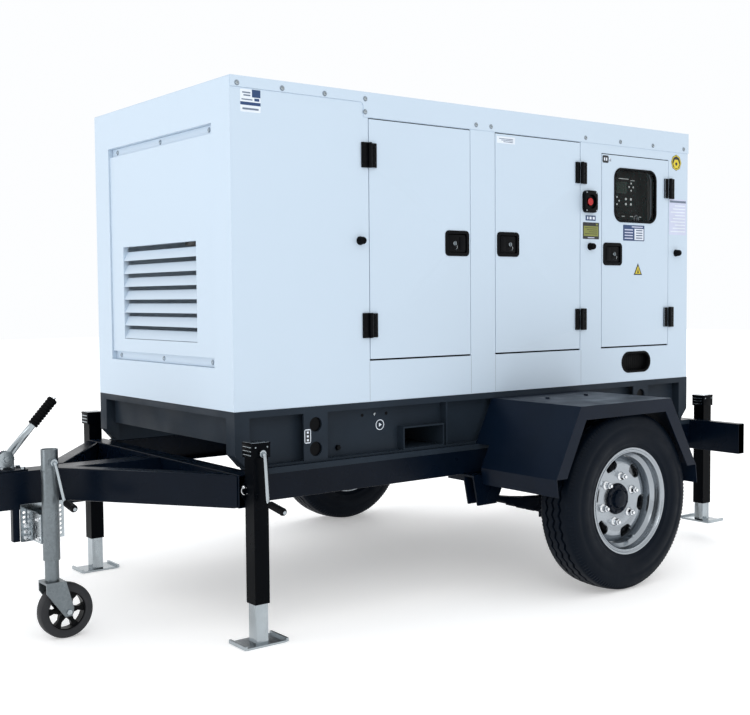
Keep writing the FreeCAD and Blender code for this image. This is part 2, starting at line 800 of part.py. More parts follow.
def engine():
    """Four-cylinder engine with head, sump, flywheel housing and air cleaner."""
    block = box((-1490, -850), (-165, 165), (900, 1290))
    sump = box((-1400, -900), (-130, 130), (826, 900))
    head = rounded("x", (-1450, -890), (-110, 110), (1290, 1430), 25)
    housing = rod("x", -1550, 0, 1130, 225, 60)
    feet = []
    for x in (-960, -1420):
        feet.append(box((x, x + 80), (160, 345), ("Dims.canopy_bottom", 930)))
        feet.append(box((x, x + 80), (-345, -160), ("Dims.canopy_bottom", 930)))
    cleaner = rod("x", -1430, -250, 1560, 95, 340)
    duct = box((-1330, -1270), (-280, -60), (1400, 1500))
    exhaust = box((-1400, -920), (110, 190), (1330, 1400))
    nose = rod("x", -851, 0, FAN_HEIGHT, 15, 110)
    return fuse(block, sump, head, housing, cleaner, duct, exhaust, nose, *feet)


def alternator():
    body = rod("x", -2130, 0, 1130, 222, 580)
    terminal = box((-2050, -1700), (-140, 140), (1330, 1470))
    feet = [box((x, x + 80), (y, y + 60), ("Dims.canopy_bottom", 1040))
            for x in (-2060, -1720) for y in (-345, 285)]
    rails = [box((x, x + 80), (-345, 345), (900, 960)) for x in (-2060, -1720)]
    return fuse(body, terminal, *feet, *rails)


def radiator():
    """Core with header tanks and a cowl ring around the fan."""
    core = box((-640, -560), (-400, 400), ("Dims.canopy_bottom", 1700))
    plate = box((-760, -640), (-400, 400), (850, 1600))
    hollow = box((-700, -639), (-380, 380), (870, 1580))
    throat = rod("x", -761, 0, FAN_HEIGHT, 318, 100)
    return group(core, cut(plate, hollow, throat))


def fan():
    """Six-bladed fan on the engine nose."""
    hub = rod("x", -800, 0, FAN_HEIGHT, 60, 56)
    blades = []
    for i in range(6):
        blade = doc.addObject("Part::Box", "Blade")
        blade.Length, blade.Width, blade.Height = 5, 90, 250
        blade.Placement.Base = V(-2.5, -45, 50)
        holder = group(blade)
        pitch = FreeCAD.Rotation(V(0, 0, 1), 28)
        turn = FreeCAD.Rotation(V(1, 0, 0), 60 * i)
        holder.Placement.Rotation = turn.multiply(pitch)
        place(holder, -772, 0, FAN_HEIGHT)
        blades.append(holder)
    return cut(fuse(hub, *blades), rod("x", -810, 0, FAN_HEIGHT, 15 + FIT, 80))


def silencer():
    shell = rod("y", -300, -380, 1700, 120, 760)
    inlet = rod("x", -300, 250, 1700, 35, 180)
    outlet = rod("z", -300, -250, 1450, 40, 200)
    straps = [box((-330, -270), (y, y + 40), (1780, "Dims.roof_underside"))
              for y in (-200, 160)]
    return fuse(shell, inlet, outlet, *straps)


def battery():
    case = box((-2520, -2260), (-520, -300), ("Dims.canopy_bottom", 1030))
    posts = [rod("z", -2470, y, 1030, 10, 18) for y in (-470, -350)]
    return fuse(case, *posts)


def control_cabinet():
    """Switchgear cabinet on two posts, with the controller behind the window."""
    case = box((-2440, -1980), (260, 520), (1290, 1860))
    controller = rounded("y", (-2245, -2070), (500, 534), (1614, 1784), 10)
    posts = [box((x, x + 40), (480, 520), ("Dims.canopy_bottom", 1290))
             for x in (-2438, -2024)]
    return group(fuse(case, controller), *posts)


def build():
    add("chassis_side_rails", side_rails())
    add("chassis_crossmembers", crossmembers())
    add("drawbar_arms", drawbar_arms())
    add("drawbar_beam", drawbar_beam())
    add("jack_mounts", jack_mounts())
    add("axle_beam", axle_beam())
    add("leaf_springs", leaf_springs())
    add("mudguards", mudguards())
    add("coupling_housing", coupling_housing())
    add("tow_eye", tow_eye())
    add("handbrake_lever", handbrake_lever())
    add("jockey_clamp", jockey_clamp())
    add("jockey_stem", jockey_stem())
    add("jockey_fork", jockey_fork())
    add("jockey_wheel", jockey_wheel())
    add("jockey_crank", crank(DIMENSIONS["jockey_x"], "Dims.jockey_y + 26",
                              JOCKEY_CRANK, 145, 12, 84))
    jacks()
    tyre = road_tyre()
    add("tyre_left", tyre)
    add("tyre_right", mirror(tyre))
    rim = road_rim()
    add("rim_left", rim)
    add("rim_right", mirror(rim))
    add("skid_frame", skid_frame())
    add("fuel_tank", fuel_tank())
    add("canopy_roof", roof())
    add("canopy_wall_left", side_wall(("front", "mid", "control"), True))
    add("canopy_wall_right", mirror(side_wall(("front", "mid"), False)))
    add("canopy_front_wall", front_wall())
    add("front_louvre_panel", front_louvre_panel())
    add("canopy_rear_wall", rear_wall())
    add("hinge_wall_leaves", hinge_wall_leaves())
    add("rubber_bumpers", rubber_bumpers())
    for name in ("front", "mid"):
        panel = door(name, False)
        add("door_%s_left" % name, panel)
        add("door_%s_right" % name, mirror(panel))
    add("door_control", door("control", True))
    add("latch_front_left", latch("front"))
    add("latch_mid_left", latch("mid"))
    add("latch_control", latch("control"))
    add("control_window", control_window())
    add("e_stop_box", e_stop_box())
    add("e_stop_button", e_stop_button())
    add("engine", engine())
    add("alternator", alternator())
    add("radiator", radiator())
    add("fan", fan())
    add("silencer", silencer())
    add("battery", battery())
    add("control_cabinet", control_cabinet())


build()
doc.recompute()

for obj in doc.Objects:
    if "Invalid" in obj.State or "Error" in obj.State:
        raise RuntimeError("%s did not recompute" % obj.Label)

os.makedirs("parts", exist_ok=True)
for name, obj in nodes:
    shape = obj.Shape
    if shape.isNull() or not shape.isValid() or not shape.Solids:
        raise RuntimeError("%s has no valid solid" % name)
    shape.exportStep("parts/%s.step" % name)
print("exported %d sub-parts" % len(nodes))
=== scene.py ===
import json
from math import atan2, cos, pi, radians, sin, sqrt

import bmesh
import bpy
from mathutils import Matrix, Vector


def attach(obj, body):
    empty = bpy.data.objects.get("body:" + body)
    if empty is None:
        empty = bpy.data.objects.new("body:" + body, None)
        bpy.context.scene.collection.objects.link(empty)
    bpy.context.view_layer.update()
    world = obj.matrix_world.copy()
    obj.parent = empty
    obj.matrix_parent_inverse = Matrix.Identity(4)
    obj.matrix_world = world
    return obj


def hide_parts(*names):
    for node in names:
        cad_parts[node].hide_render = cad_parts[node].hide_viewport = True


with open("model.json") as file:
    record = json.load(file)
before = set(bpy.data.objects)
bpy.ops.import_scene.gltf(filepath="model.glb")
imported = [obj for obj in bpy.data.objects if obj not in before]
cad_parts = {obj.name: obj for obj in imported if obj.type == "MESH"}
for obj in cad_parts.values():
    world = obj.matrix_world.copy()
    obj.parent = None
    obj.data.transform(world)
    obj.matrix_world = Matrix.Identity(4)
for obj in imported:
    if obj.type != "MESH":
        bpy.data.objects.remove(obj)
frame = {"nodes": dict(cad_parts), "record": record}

NODES = frame["nodes"]
SLOT_OF = {s["node"]: s["material_slot"] for s in frame["record"]["subparts"]}
BODY_OF = {n: b for b, ns in frame["record"]["behaviour"]["bodies"].items() for n in ns}
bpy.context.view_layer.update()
MM = 0.001
CANOPY_FRONT = 808
TAU = 2 * pi
SCENE = bpy.context.scene
X, Y, Z = (1, 0, 0), (0, 1, 0), (0, 0, 1)

# Places on the object in millimetres: X from the canopy front face, Z from the ground.
SIDE = 580
SKID_WEB = 542
AXLE = (-1589, 984, 373)
E_STOP = (-1876, 1649)
LEVER = (630, 0, 640)
JOCKEY_TUBE = (540, 200)
JOCKEY_CRANK = (540, 226, 645)
JOCKEY_HUB = (495, 200, 100)


def at(x, y, z):
    """Millimetres measured from the canopy front face, to metres in the row frame."""
    return Vector(((CANOPY_FRONT + x) * MM, y * MM, z * MM))


# ---- camera, light

def make_camera():
    spot = at(2031, 4067, 1222)
    focal_length = 53.71
    yaw, pitch, roll = 4.05883, 0.053833, 0.008163
    look = Vector((cos(pitch) * cos(yaw), cos(pitch) * sin(yaw), -sin(pitch)))
    side = Vector((sin(yaw), -cos(yaw), 0))
    down = look.cross(side)
    right = cos(roll) * side + sin(roll) * down
    low = -sin(roll) * side + cos(roll) * down
    data = bpy.data.cameras.new("camera")
    data.sensor_width = 36
    data.sensor_fit = "HORIZONTAL"
    data.lens = focal_length
    data.clip_end = 100
    cam = bpy.data.objects.new("camera", data)
    SCENE.collection.objects.link(cam)
    turn = Matrix((right, -low, -look)).transposed()
    cam.matrix_world = Matrix.Translation(spot) @ turn.to_4x4()
    SCENE.camera = cam


def area_light(name, spot, target, size, power, colour=(1, 1, 1)):
    data = bpy.data.lights.new(name, "AREA")
    data.shape = "RECTANGLE"
    data.size, data.size_y = size
    data.energy = power
    data.color = colour
    lamp = bpy.data.objects.new(name, data)
    SCENE.collection.objects.link(lamp)
    lamp.location = spot
    aim = Vector(target) - Vector(spot)
    lamp.rotation_mode = "QUATERNION"
    lamp.rotation_quaternion = aim.to_track_quat("-Z", "Y")


def make_studio():
    SCENE.view_settings.view_transform = "Standard"
    world = bpy.data.worlds.new("studio")
    SCENE.world = world
    world.use_nodes = True
    sky = world.node_tree.nodes["Background"]
    sky.inputs["Color"].default_value = (0.98, 0.99, 1.0, 1)
    sky.inputs["Strength"].default_value = 1.0
    area_light("key", (4.5, 6.0, 5.5), (0, 0, 0.9), (4, 3), 90, (1, 0.99, 0.97))
    area_light("front", (7.5, -1.0, 1.9), (0.8, 0, 0.9), (3, 3), 55)
    area_light("back", (-7.0, -4.0, 4.5), (0, 0, 1), (4, 3), 120)
    bpy.ops.mesh.primitive_plane_add(size=60, location=(0, 0, 0))
    floor = bpy.context.object
    floor.name = "studio_floor"
    white = Mat("floor_white", (0.93, 0.93, 0.93), 0.8)
    white.put("Emission Color", (1, 1, 1, 1))
    white.put("Emission Strength", 0.32)
    floor.data.materials.append(white.done)


# ---- materials

class Mat:
    """Principled material with a few procedural layers on object coordinates."""

    def __init__(self, name, colour, rough, metal=0.0, sheen=0.5):
        self.done = bpy.data.materials.new(name)
        self.done.use_nodes = True
        self.tree = self.done.node_tree
        self.shader = self.tree.nodes["Principled BSDF"]
        self.colour = colour
        self.put("Base Color", (*colour, 1))
        self.put("Roughness", rough)
        self.put("Metallic", metal)
        self.put("Specular IOR Level", sheen)
        self.where = self.new("ShaderNodeTexCoord").outputs["Object"]

    def put(self, socket, value):
        self.shader.inputs[socket].default_value = value

    def new(self, kind, **values):
        """Node with values on its inputs."""
        node = self.tree.nodes.new(kind)
        for key, value in values.items():
            node.inputs[key.replace("_", " ")].default_value = value
        return node

    def link(self, a, b):
        self.tree.links.new(a, b)

    def noise(self, scale, detail, stretch=(1, 1, 1), seed=0.0):
        place = self.new("ShaderNodeMapping", Scale=stretch,
                         Location=(seed, seed * 0.7, seed * 0.3))
        node = self.new("ShaderNodeTexNoise", Scale=scale, Detail=detail)
        self.link(self.where, place.inputs["Vector"])
        self.link(place.outputs["Vector"], node.inputs["Vector"])
        return node.outputs["Fac"]

    def ramp(self, source, stops):
        node = self.new("ShaderNodeValToRGB")
        ramp = node.color_ramp
        while len(ramp.elements) < len(stops):
            ramp.elements.new(0.5)
        for element, (spot, value) in zip(ramp.elements, stops):
            element.position = spot
            element.color = (*value, 1)
        self.link(source, node.inputs["Fac"])
        return node.outputs["Color"]

    def spread(self, source, low, high):
        node = self.new("ShaderNodeMapRange", From_Min=0.3, From_Max=0.7, To_Min=low,
                        To_Max=high)
        self.link(source, node.inputs["Value"])
        return node.outputs["Result"]

    def shade(self, scale, amount):
        """Colour drifts around its own value."""
        low = tuple(c * (1 - amount) for c in self.colour)
        high = tuple(min(1, c * (1 + amount)) for c in self.colour)
        self.link(self.ramp(self.noise(scale, 4), [(0.3, low), (0.7, high)]),
                  self.shader.inputs["Base Color"])
        return self

    def gloss(self, scale, low, high):
        """Roughness drifts between two values."""
        self.link(self.spread(self.noise(scale, 3, seed=3.0), low, high),
                  self.shader.inputs["Roughness"])
        return self

    def grain(self, scale, strength, distance=0.0006, stretch=(1, 1, 1)):
        """Fine bump all over the surface."""
        node = self.new("ShaderNodeBump", Strength=strength, Distance=distance)
        self.link(self.noise(scale, 2, stretch, 7.0), node.inputs["Height"])
        self.link(node.outputs["Normal"], self.shader.inputs["Normal"])
        return self


def paint(name, colour, rough, grain=0.12, metal=0.0):
    """Powder coat: faint orange peel and slow drift in colour and gloss."""
    m = Mat(name, colour, rough, metal)
    m.shade(1.1, 0.012).gloss(2.5, rough * 0.95, rough * 1.05)
    return m.grain(420, grain).done


def dark_paint(name, colour, rough, grain=0.12, sheen=0.1):
    """Dark coat with a broad drift in tone, like thin dust."""
    m = Mat(name, colour, rough, sheen=sheen)
    m.shade(3.1, 0.2).gloss(7, rough * 0.8, rough * 1.25)
    return m.grain(380, grain).done


def plated(name, colour, rough):
    """Zinc plate: soft clouding and faint drawing marks."""
    m = Mat(name, colour, rough, 1.0)
    m.shade(11, 0.09).gloss(26, rough * 0.7, rough * 1.35)
    return m.grain(150, 0.12, 0.0004, (1, 1, 0.08)).done


def galvanised(name, colour, rough):
    """Hot-dip coat with small spangles."""
    m = Mat(name, colour, rough, 0.9)
    cells = m.new("ShaderNodeTexVoronoi", Scale=130)
    m.link(m.where, cells.inputs["Vector"])
    low = tuple(c * 0.86 for c in colour)
    m.link(m.ramp(cells.outputs["Color"], [(0.15, low), (0.85, colour)]),
           m.shader.inputs["Base Color"])
    m.gloss(18, rough * 0.75, rough * 1.3)
    return m.grain(240, 0.1).done


def moulded(name, colour, rough, grain=0.25, scale=900, sheen=0.5):
    """Plastic or rubber with a fine moulded grain."""
    m = Mat(name, colour, rough, sheen=sheen)
    m.shade(9, 0.08).gloss(25, rough * 0.85, rough * 1.12)
    return m.grain(scale, grain, 0.0003).done


INKS = {"ink_white": (0.70, 0.76, 0.84), "ink_dark": (0.006, 0.008, 0.012),
        "ink_blue": (0.012, 0.045, 0.14), "ink_yellow": (0.62, 0.50, 0.02),
        "ink_olive": (0.20, 0.22, 0.04), "ink_pale": (0.56, 0.60, 0.76),
        "ink_slate": (0.13, 0.17, 0.24)}


def make_materials():
    """Finish of every slot, and of the pieces that look unlike their slot."""
    def matt(*numbers):
        return moulded(*numbers, sheen=0.08)

    made = {
        "canopy_paint": paint("canopy_powder_coat", (0.52, 0.625, 0.735), 0.34),
        "skid_paint": dark_paint("skid_powder_coat", (0.016, 0.024, 0.035), 0.42),
        "chassis_paint": dark_paint("chassis_enamel", (0.0012, 0.004, 0.010), 0.28),
        "guard_paint": dark_paint("mudguard_coat", (0.002, 0.006, 0.015), 0.38,
                                  sheen=0.13),
        "jack_paint": dark_paint("jack_enamel", (0.0003, 0.0009, 0.002), 0.30,
                                 sheen=0.04),
        "zinc": plated("zinc_plate", (0.36, 0.40, 0.425), 0.2),
        "galvanised": galvanised("galvanised_steel", (0.17, 0.195, 0.21), 0.33),
        "black_plastic": matt("black_moulding", (0.0008, 0.0012, 0.002), 0.34),
        "rubber": matt("bumper_rubber", (0.0012, 0.0015, 0.002), 0.6, 0.4),
        "tyre": matt("tyre_rubber", (0.0016, 0.0042, 0.009), 0.5, 0.4, 500),
        "rim_silver": paint("rim_silver_enamel", (0.33, 0.36, 0.39), 0.2, metal=0.92),
        "stop_red": moulded("stop_red_gloss", (0.42, 0.008, 0.012), 0.22, 0.05),
        "engine_iron": paint("engine_grey_casting", (0.10, 0.12, 0.13), 0.5, 0.6),
        "alternator_paint": paint("alternator_blue_casting", (0.03, 0.07, 0.14), 0.45,
                                  0.5),
        "radiator_black": dark_paint("radiator_black", (0.012, 0.012, 0.013), 0.5, 0.5),
        "silencer_steel": galvanised("aluminised_steel", (0.30, 0.29, 0.28), 0.42),
        "battery_plastic": matt("battery_case", (0.01, 0.01, 0.012), 0.35),
        "cabinet_paint": paint("cabinet_grey", (0.33, 0.34, 0.34), 0.4),
        # The seam colour also paints the shade rings round the canopy screws.
        "seam": moulded("panel_seam", (0.26, 0.31, 0.37), 0.6),
        "fascia": moulded("control_fascia", (0.003, 0.006, 0.006), 0.3, sheen=0.12),
        "grey_rubber": moulded("jockey_rubber", (0.020, 0.021, 0.024), 0.6, 0.4,
                               sheen=0.25),
        "foam": moulded("acoustic_foam", (0.018, 0.018, 0.020), 0.9, 1.0, 160,
                        sheen=0.1),
    }
    for name, colour in INKS.items():
        made[name] = moulded("label_" + name, colour, 0.45, 0.05)
    glass = Mat("window_tint", (0.001, 0.004, 0.004), 0.05, sheen=0.25)
    glass.put("Alpha", 0.3)
    made["window_glass"] = glass.gloss(30, 0.03, 0.08).done
    bright = Mat("bright_plate", (0.72, 0.74, 0.76), 0.12, 1.0)
    made["bright"] = bright.shade(30, 0.06).gloss(60, 0.08, 0.18).done
    screen = Mat("control_screen", (0.010, 0.045, 0.030), 0.15)
    made["screen"] = screen.shade(90, 0.3).done
    # The control marks are print and small dots, not lamps: their glow is painted
    # light.
    lamp = Mat("control_marks", (0.75, 0.80, 0.80), 0.3)
    lamp.put("Emission Color", (0.8, 0.9, 0.9, 1))
    lamp.put("Emission Strength", 0.5)
    made["lamp"] = lamp.shade(50, 0.1).done
    return made


# ---- shapes

def basis(axis):
    """Two directions that complete an axis to a right-handed set."""
    a = Vector(axis).normalized()
    helper = Vector(Z) if abs(a.z) < 0.9 else Vector(X)
    u = helper.cross(a).normalized()
    return a, u, a.cross(u)


def turns(count, start=0.0):
    """Angles of equal steps round a circle."""
    return [TAU * i / count + start for i in range(count)]


class Shape:
    """Mesh builder; every length is in millimetres from the canopy front."""

    def __init__(self):
        self.bm = bmesh.new()

    def rings(self, rings, caps=False):
        """Skin neighbouring rings of equal count."""
        made = [[self.bm.verts.new(p) for p in ring] for ring in rings]
        count = len(rings[0])
        for one, two in zip(made, made[1:]):
            for i in range(count):
                j = (i + 1) % count
                self.bm.faces.new((one[i], one[j], two[j], two[i]))
        if caps:
            self.bm.faces.new(list(reversed(made[0])))
            self.bm.faces.new(made[-1])

    def lathe(self, profile, centre, axis, steps=48, loop=False):
        """Turn (radius, distance) points round an axis through centre."""
        a, u, v = basis(axis)
        rings = []
        for r, d in profile:
            rings.append([at(*(Vector(centre) + a * d + (u * cos(t) + v * sin(t)) * r))
                          for t in turns(steps)])
        if loop:
            rings.append(rings[0])
        self.rings(rings, caps=not loop)

    def rod(self, start, axis, radius, length, steps=32, edge=None):
        """Cylinder with a small chamfer at both ends."""
        c = min(radius, length) * 0.12 if edge is None else edge
        self.lathe([(radius - c, 0), (radius, c), (radius, length - c),
                    (radius - c, length)], start, axis, steps)

    def hexagon(self, start, axis, across, height, turn=0.0):
        """Hexagon nut or bolt head with a chamfered crown."""
        a, u, v = basis(axis)
        r = across / sqrt(3)
        rings = []
        for radius, d in ((r, 0), (r, height * 0.82), (r * 0.86, height)):
            rings.append([at(*(Vector(start) + a * d + radius *
                               (u * cos(t) + v * sin(t))))
                          for t in turns(6, turn)])
        self.rings(rings, caps=True)

    def block(self, x, y, z, edge=1.0):
        """Box with bevelled edges."""
        made = bmesh.new()
        bmesh.ops.create_cube(made, size=1)
        size = [high - low for low, high in (x, y, z)]
        middle = Vector([(low + high) / 2 for low, high in (x, y, z)])
        for vert in made.verts:
            vert.co = Vector([c * s for c, s in zip(vert.co, size)])
        soften(made, edge)
        for vert in made.verts:
            vert.co = at(*(vert.co + middle))
        self.join(made)

    def prism(self, points, low, high, edge=0.0):
        """Outline of (x, z) points pushed along Y."""
        made = bmesh.new()
        near, far = ([made.verts.new(at(x, y, z)) for x, z in points]
                     for y in (low, high))
        made.faces.new(near)
        made.faces.new(list(reversed(far)))
        for i in range(len(points)):
            j = (i + 1) % len(points)
            made.faces.new((near[j], near[i], far[i], far[j]))
        soften(made, edge * MM)
        self.join(made)

    def sweep(self, points, radius, steps=16):
        """Round bar along a smooth path."""
        path = smooth_path([Vector(p) for p in points])
        rings = []
        normal = None
        for i, spot in enumerate(path):
            ahead = path[min(i + 1, len(path) - 1)] - path[max(i - 1, 0)]
            a = ahead.normalized()
            if normal is None:
                normal = basis(a)[1]
            normal = (normal - a * normal.dot(a)).normalized()
            other = a.cross(normal)
            rings.append([at(*(spot + radius * (normal * cos(t)
                                                + other * sin(t))))
                          for t in turns(steps)])
        self.rings(rings, caps=True)

    def join(self, made):
        made.normal_update()
        mesh = bpy.data.meshes.new("join")
        made.to_mesh(mesh)
        self.bm.from_mesh(mesh)
        bpy.data.meshes.remove(mesh)
        made.free()

    def mirrored(self):
        """A copy on the other side of the centre plane."""
        twin = Shape()
        twin.bm = self.bm.copy()
        for vert in twin.bm.verts:
            vert.co.y = -vert.co.y
        bmesh.ops.reverse_faces(twin.bm, faces=twin.bm.faces[:])
        return twin


def soften(bm, width):
    """Round every edge of a plain solid."""
    if width:
        bmesh.ops.bevel(bm, geom=bm.edges[:], offset=width, segments=2, profile=0.6,
                        affect="EDGES")


def smooth_path(points, per_leg=8):
    """Catmull-Rom points through the given ones."""
    ends = [points[0] * 2 - points[1]] + points + [points[-1] * 2 - points[-2]]
    path = []
    for a, b, c, d in zip(ends, ends[1:], ends[2:], ends[3:]):
        for i in range(per_leg):
            t = i / per_leg
            path.append(0.5 * (2 * b + (c - a) * t + (2 * a - 5 * b + 4 * c - d) * t * t
                               + (3 * b - a - 3 * c + d) * t ** 3))
    return path + [points[-1]]


def rounded(a, b, radius, steps=6):
    """Corner points of a rounded rectangle between (low, high) pairs."""
    (a0, a1), (b0, b1) = a, b
    corners = ((a1 - radius, b1 - radius, 0), (a0 + radius, b1 - radius, 1),
               (a0 + radius, b0 + radius, 2), (a1 - radius, b0 + radius, 3))
    points = []
    for ca, cb, quarter in corners:
        for i in range(steps + 1):
            t = pi / 2 * (quarter + i / steps)
            points.append((ca + radius * cos(t), cb + radius * sin(t)))
    return points


def settle(obj, slot, body="trailer", look=None, sharp=35, bevel=0.0, replaces=None):
    """Give a made object its body and its finish, picked by its look or else its slot.
    """
    obj.data.materials.clear()
    obj.data.materials.append(MATS[look or slot])
    for poly in obj.data.polygons:
        poly.use_smooth = True
    if bevel:
        edge = obj.modifiers.new("soft_edges", "BEVEL")
        edge.width = bevel * MM
        edge.segments = 2
        edge.limit_method = "ANGLE"
        edge.angle_limit = radians(sharp)
        edge.harden_normals = True
    obj.data.set_sharp_from_angle(angle=radians(sharp))
    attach(obj, body)
    if replaces:
        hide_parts(replaces)


def linked(name, bm):
    mesh = bpy.data.meshes.new(name)
    bm.to_mesh(mesh)
    bm.free()
    obj = bpy.data.objects.new(name, mesh)
    SCENE.collection.objects.link(obj)
    return obj


def object_from(name, shape):
    """Object of a shape whose faces all look outwards."""
    bmesh.ops.recalc_face_normals(shape.bm, faces=shape.bm.faces[:])
    return linked(name, shape.bm)


def carved(name, shape, *tools):
    """Object of a shape with others cut out of it, as a plain mesh."""
    obj = object_from(name, shape)
    for tool in (object_from("tool", t) for t in tools):
        knife = obj.modifiers.new("cut", "BOOLEAN")
        knife.operation = "DIFFERENCE"
        knife.solver = "EXACT"
        knife.object = tool
        graph = bpy.context.evaluated_depsgraph_get()
        mesh = bpy.data.meshes.new_from_object(obj.evaluated_get(graph))
        obj.modifiers.clear()
        obj.data = mesh
        bpy.data.objects.remove(tool)
    return obj


def piece(name, shape, slot, body="trailer", **finish):
    settle(object_from(name, shape), slot, body, **finish)


def both_sides(name, shape, slot, body="trailer", replaces=None, **finish):
    """The same piece on the left and mirrored on the right, %s being the side."""
    twin = shape.mirrored()
    for side, made in (("left", shape), ("right", twin)):
        piece("%s_%s" % (name, side), made, slot, body.replace("%s", side),
              replaces=replaces and replaces % side, **finish)


def softened(node, width):
    """Carry a CAD node over with rolled edges in place of knife edges."""
    bm = bmesh.new()
    bm.from_mesh(NODES[node].data)
    bmesh.ops.remove_doubles(bm, verts=bm.verts[:], dist=1e-6)
    bmesh.ops.dissolve_limit(bm, angle_limit=radians(0.6), verts=bm.verts[:],
                             edges=bm.edges[:])
    settle(linked(node + "_shell", bm), SLOT_OF[node], BODY_OF[node], bevel=width,
           replaces=node)


# ---- wheels

# Degrees by which the hand holes, the nuts and the valve are turned on the hub.
HOLE_PHASE = 12
NUT_PHASE = 42
VALVE_PHASE = 252


def tyre_shape():
    """Rib tyre: zigzag grooves, finely cut shoulders and ringed sidewalls."""
    half = [(206, 66), (214, 74), (226, 80), (236, 82.5), (240, 86), (252, 88.5),
            (262, 90), (266, 91.8), (282, 92.6), (298, 92.8), (302, 91.4), (314, 90.8),
            (318, 91.6), (328, 90)]
    shape = Shape()
    steps = 288
    zigzags = 48
    grooves = (-34, 0, 34)
    across = sorted([-64, -57, -21, -13, 13, 21, 57, 64]
                    + [g + d for g in grooves for d in (-5.5, -3.2, 3.2, 5.5)])
    a, u, v = basis(Y)
    centre = Vector(AXLE)

    def ring(r, d, cut=0, swing=0):
        """Ring at distance d, nicked by cut and swung from side to side."""
        made = []
        for i in range(steps):
            t = TAU * i / steps
            wave = swing * (4 * abs(i * zigzags / steps % 1.0 - 0.5) - 1)
            out = (u * cos(t) + v * sin(t)) * (r - cut * (i % 2))
            made.append(at(*(centre + a * (d + wave) + out)))
        return made

    shoulder = ((338, 88.5, 3.5), (349, 85, 5), (358, 80, 5.5), (364.5, 74, 5),
                (368, 68.5, 3.5))
    rings = [ring(r, -d) for r, d in half]
    rings += [ring(r, -d, cut) for r, d, cut in shoulder]
    for d in across:
        crown = AXLE[2] - 4.0 * (d / 62) ** 2
        reach = min(abs(d - g) for g in grooves)
        deep = 10 if reach < 4 else 0
        swing = 5.0 if reach < 6 else 2.5 if reach < 14 else 0
        rings.append(ring(crown - deep, d, swing=swing))
    rings += [ring(r, d, cut) for r, d, cut in reversed(shoulder)]
    rings += [ring(r, d) for r, d in reversed(half)]
    rings.append(rings[0])
    shape.rings(rings)
    return shape


def rim_shape():
    """Drop-centre rim barrel and pressed disc with obround hand holes."""
    shape = Shape()
    outer = [(221, 82), (222, 79), (220, 76), (212, 74), (205, 70), (204, 44),
             (198, 38), (187, 32)]
    inner = [(217, 82.5), (213.5, 81), (211, 77), (206, 76), (205, 77.6), (202, 77.6),
             (200.5, 74), (198.5, 68), (197.5, 49), (191, 42), (183, 35)]
    loop = outer + [(r, -d) for r, d in reversed(outer)]
    loop += [(r, -d) for r, d in inner] + list(reversed(inner))
    shape.lathe(loop, AXLE, Y, 96, loop=True)
    disc = [(64, 4), (64, 13), (67, 14.6), (110, 14.6), (120, 16), (133, 20),
            (148, 21.6), (160, 18.5), (171, 10), (181.5, 1), (181.5, -9), (170, 0),
            (158, 9), (147, 12), (133, 11), (121, 6.5), (112, 4)]
    hole_ring = Shape()
    hole_ring.lathe(disc, AXLE, Y, 120, loop=True)
    cutter = Shape()
    for i in range(6):
        spin = Matrix.Rotation(-radians(60 * i + HOLE_PHASE), 3, "Y")
        hole = rounded((125, 168), (-34, 34), 19)
        cutter.rings([[at(*(Vector((AXLE[0], y, AXLE[2])) + spin @ Vector((p, 0, q))))
                       for p, q in hole] for y in (AXLE[1] - 14, AXLE[1] + 36)],
                     caps=True)
    pressing = carved("disc", hole_ring, cutter)
    shape.bm.from_mesh(pressing.data)
    bpy.data.objects.remove(pressing)
    return shape


def make_wheels():
    x, y, z = AXLE
    both_sides("tyre_tread", tyre_shape(), "tyre", "wheel_%s",
               replaces="tyre_%s", sharp=28)
    both_sides("rim_pressing", rim_shape(), "rim_silver", "wheel_%s",
               replaces="rim_%s", sharp=38)
    hub = Shape()
    hub.lathe([(26, -112), (165, -112), (168, -109), (168, -50), (164, -44), (106, -36),
               (106, 3), (63, 3.6), (26, 3.6)], AXLE, Y, 64)
    hub.lathe([(62, 3), (62, 19), (59, 22.5), (47, 22.5), (44, 20), (40, 20.5),
               (37, 27), (35, 33), (29, 37), (14, 38), (1, 38)], AXLE, Y, 64)
    for t in turns(8, TAU * 0.05):
        hub.hexagon((x + 53 * cos(t), y + 22, z + 53 * sin(t)), Y, 8, 4.5)
    both_sides("wheel_hub", hub, "chassis_paint", "wheel_%s")
    nuts = Shape()
    for i in range(6):
        t = radians(60 * i + NUT_PHASE)
        spot = (x + 95 * cos(t), y, z + 95 * sin(t))
        nuts.lathe([(19, 14.6), (19, 17), (15, 21), (12, 22)], spot, Y, 32)
        nuts.hexagon((spot[0], y + 20, spot[2]), Y, 24, 15, 0.3 * i)
        nuts.lathe([(7, 34), (7.6, 35), (7.6, 43), (6.4, 45)], spot, Y, 20)
    both_sides("wheel_nuts", nuts, "zinc", "wheel_%s", look="bright")
    valve = Shape()
    t = radians(VALVE_PHASE)
    foot = Vector((x + 178 * cos(t), y + 8, z + 178 * sin(t)))
    tip = foot + Vector((-10 * cos(t), 38, -10 * sin(t)))
    valve.sweep([foot, foot + (tip - foot) * 0.5, tip], 3.6)
    valve.lathe([(5.4, 0), (6, 1), (6, 12), (4.6, 14)], tip, tip - foot, 16)
    both_sides("valve_stem", valve, "zinc", "wheel_%s")


# ---- hardware

# X of the hinge line, side of its fixed leaf, feet of its leaves, door.
HINGES = (
    (-615, 1, (1723, 1063), "door_front"),
    (-1822, -1, (1728, 1065), "door_mid"),
    (-2452, -1, (1689, 1065), "door_control"),
)
# X and Z of the dish corner, door, side of the grip.
LATCHES = (
    (-1138, 1390, "door_front", -1),
    (-1430, 1392, "door_mid", 1),
    (-2106, 1362, "door_control", 1),
)


LEAF_HIGH = 98
LEAF_Y = (SIDE + 0.2, SIDE + 8.5)


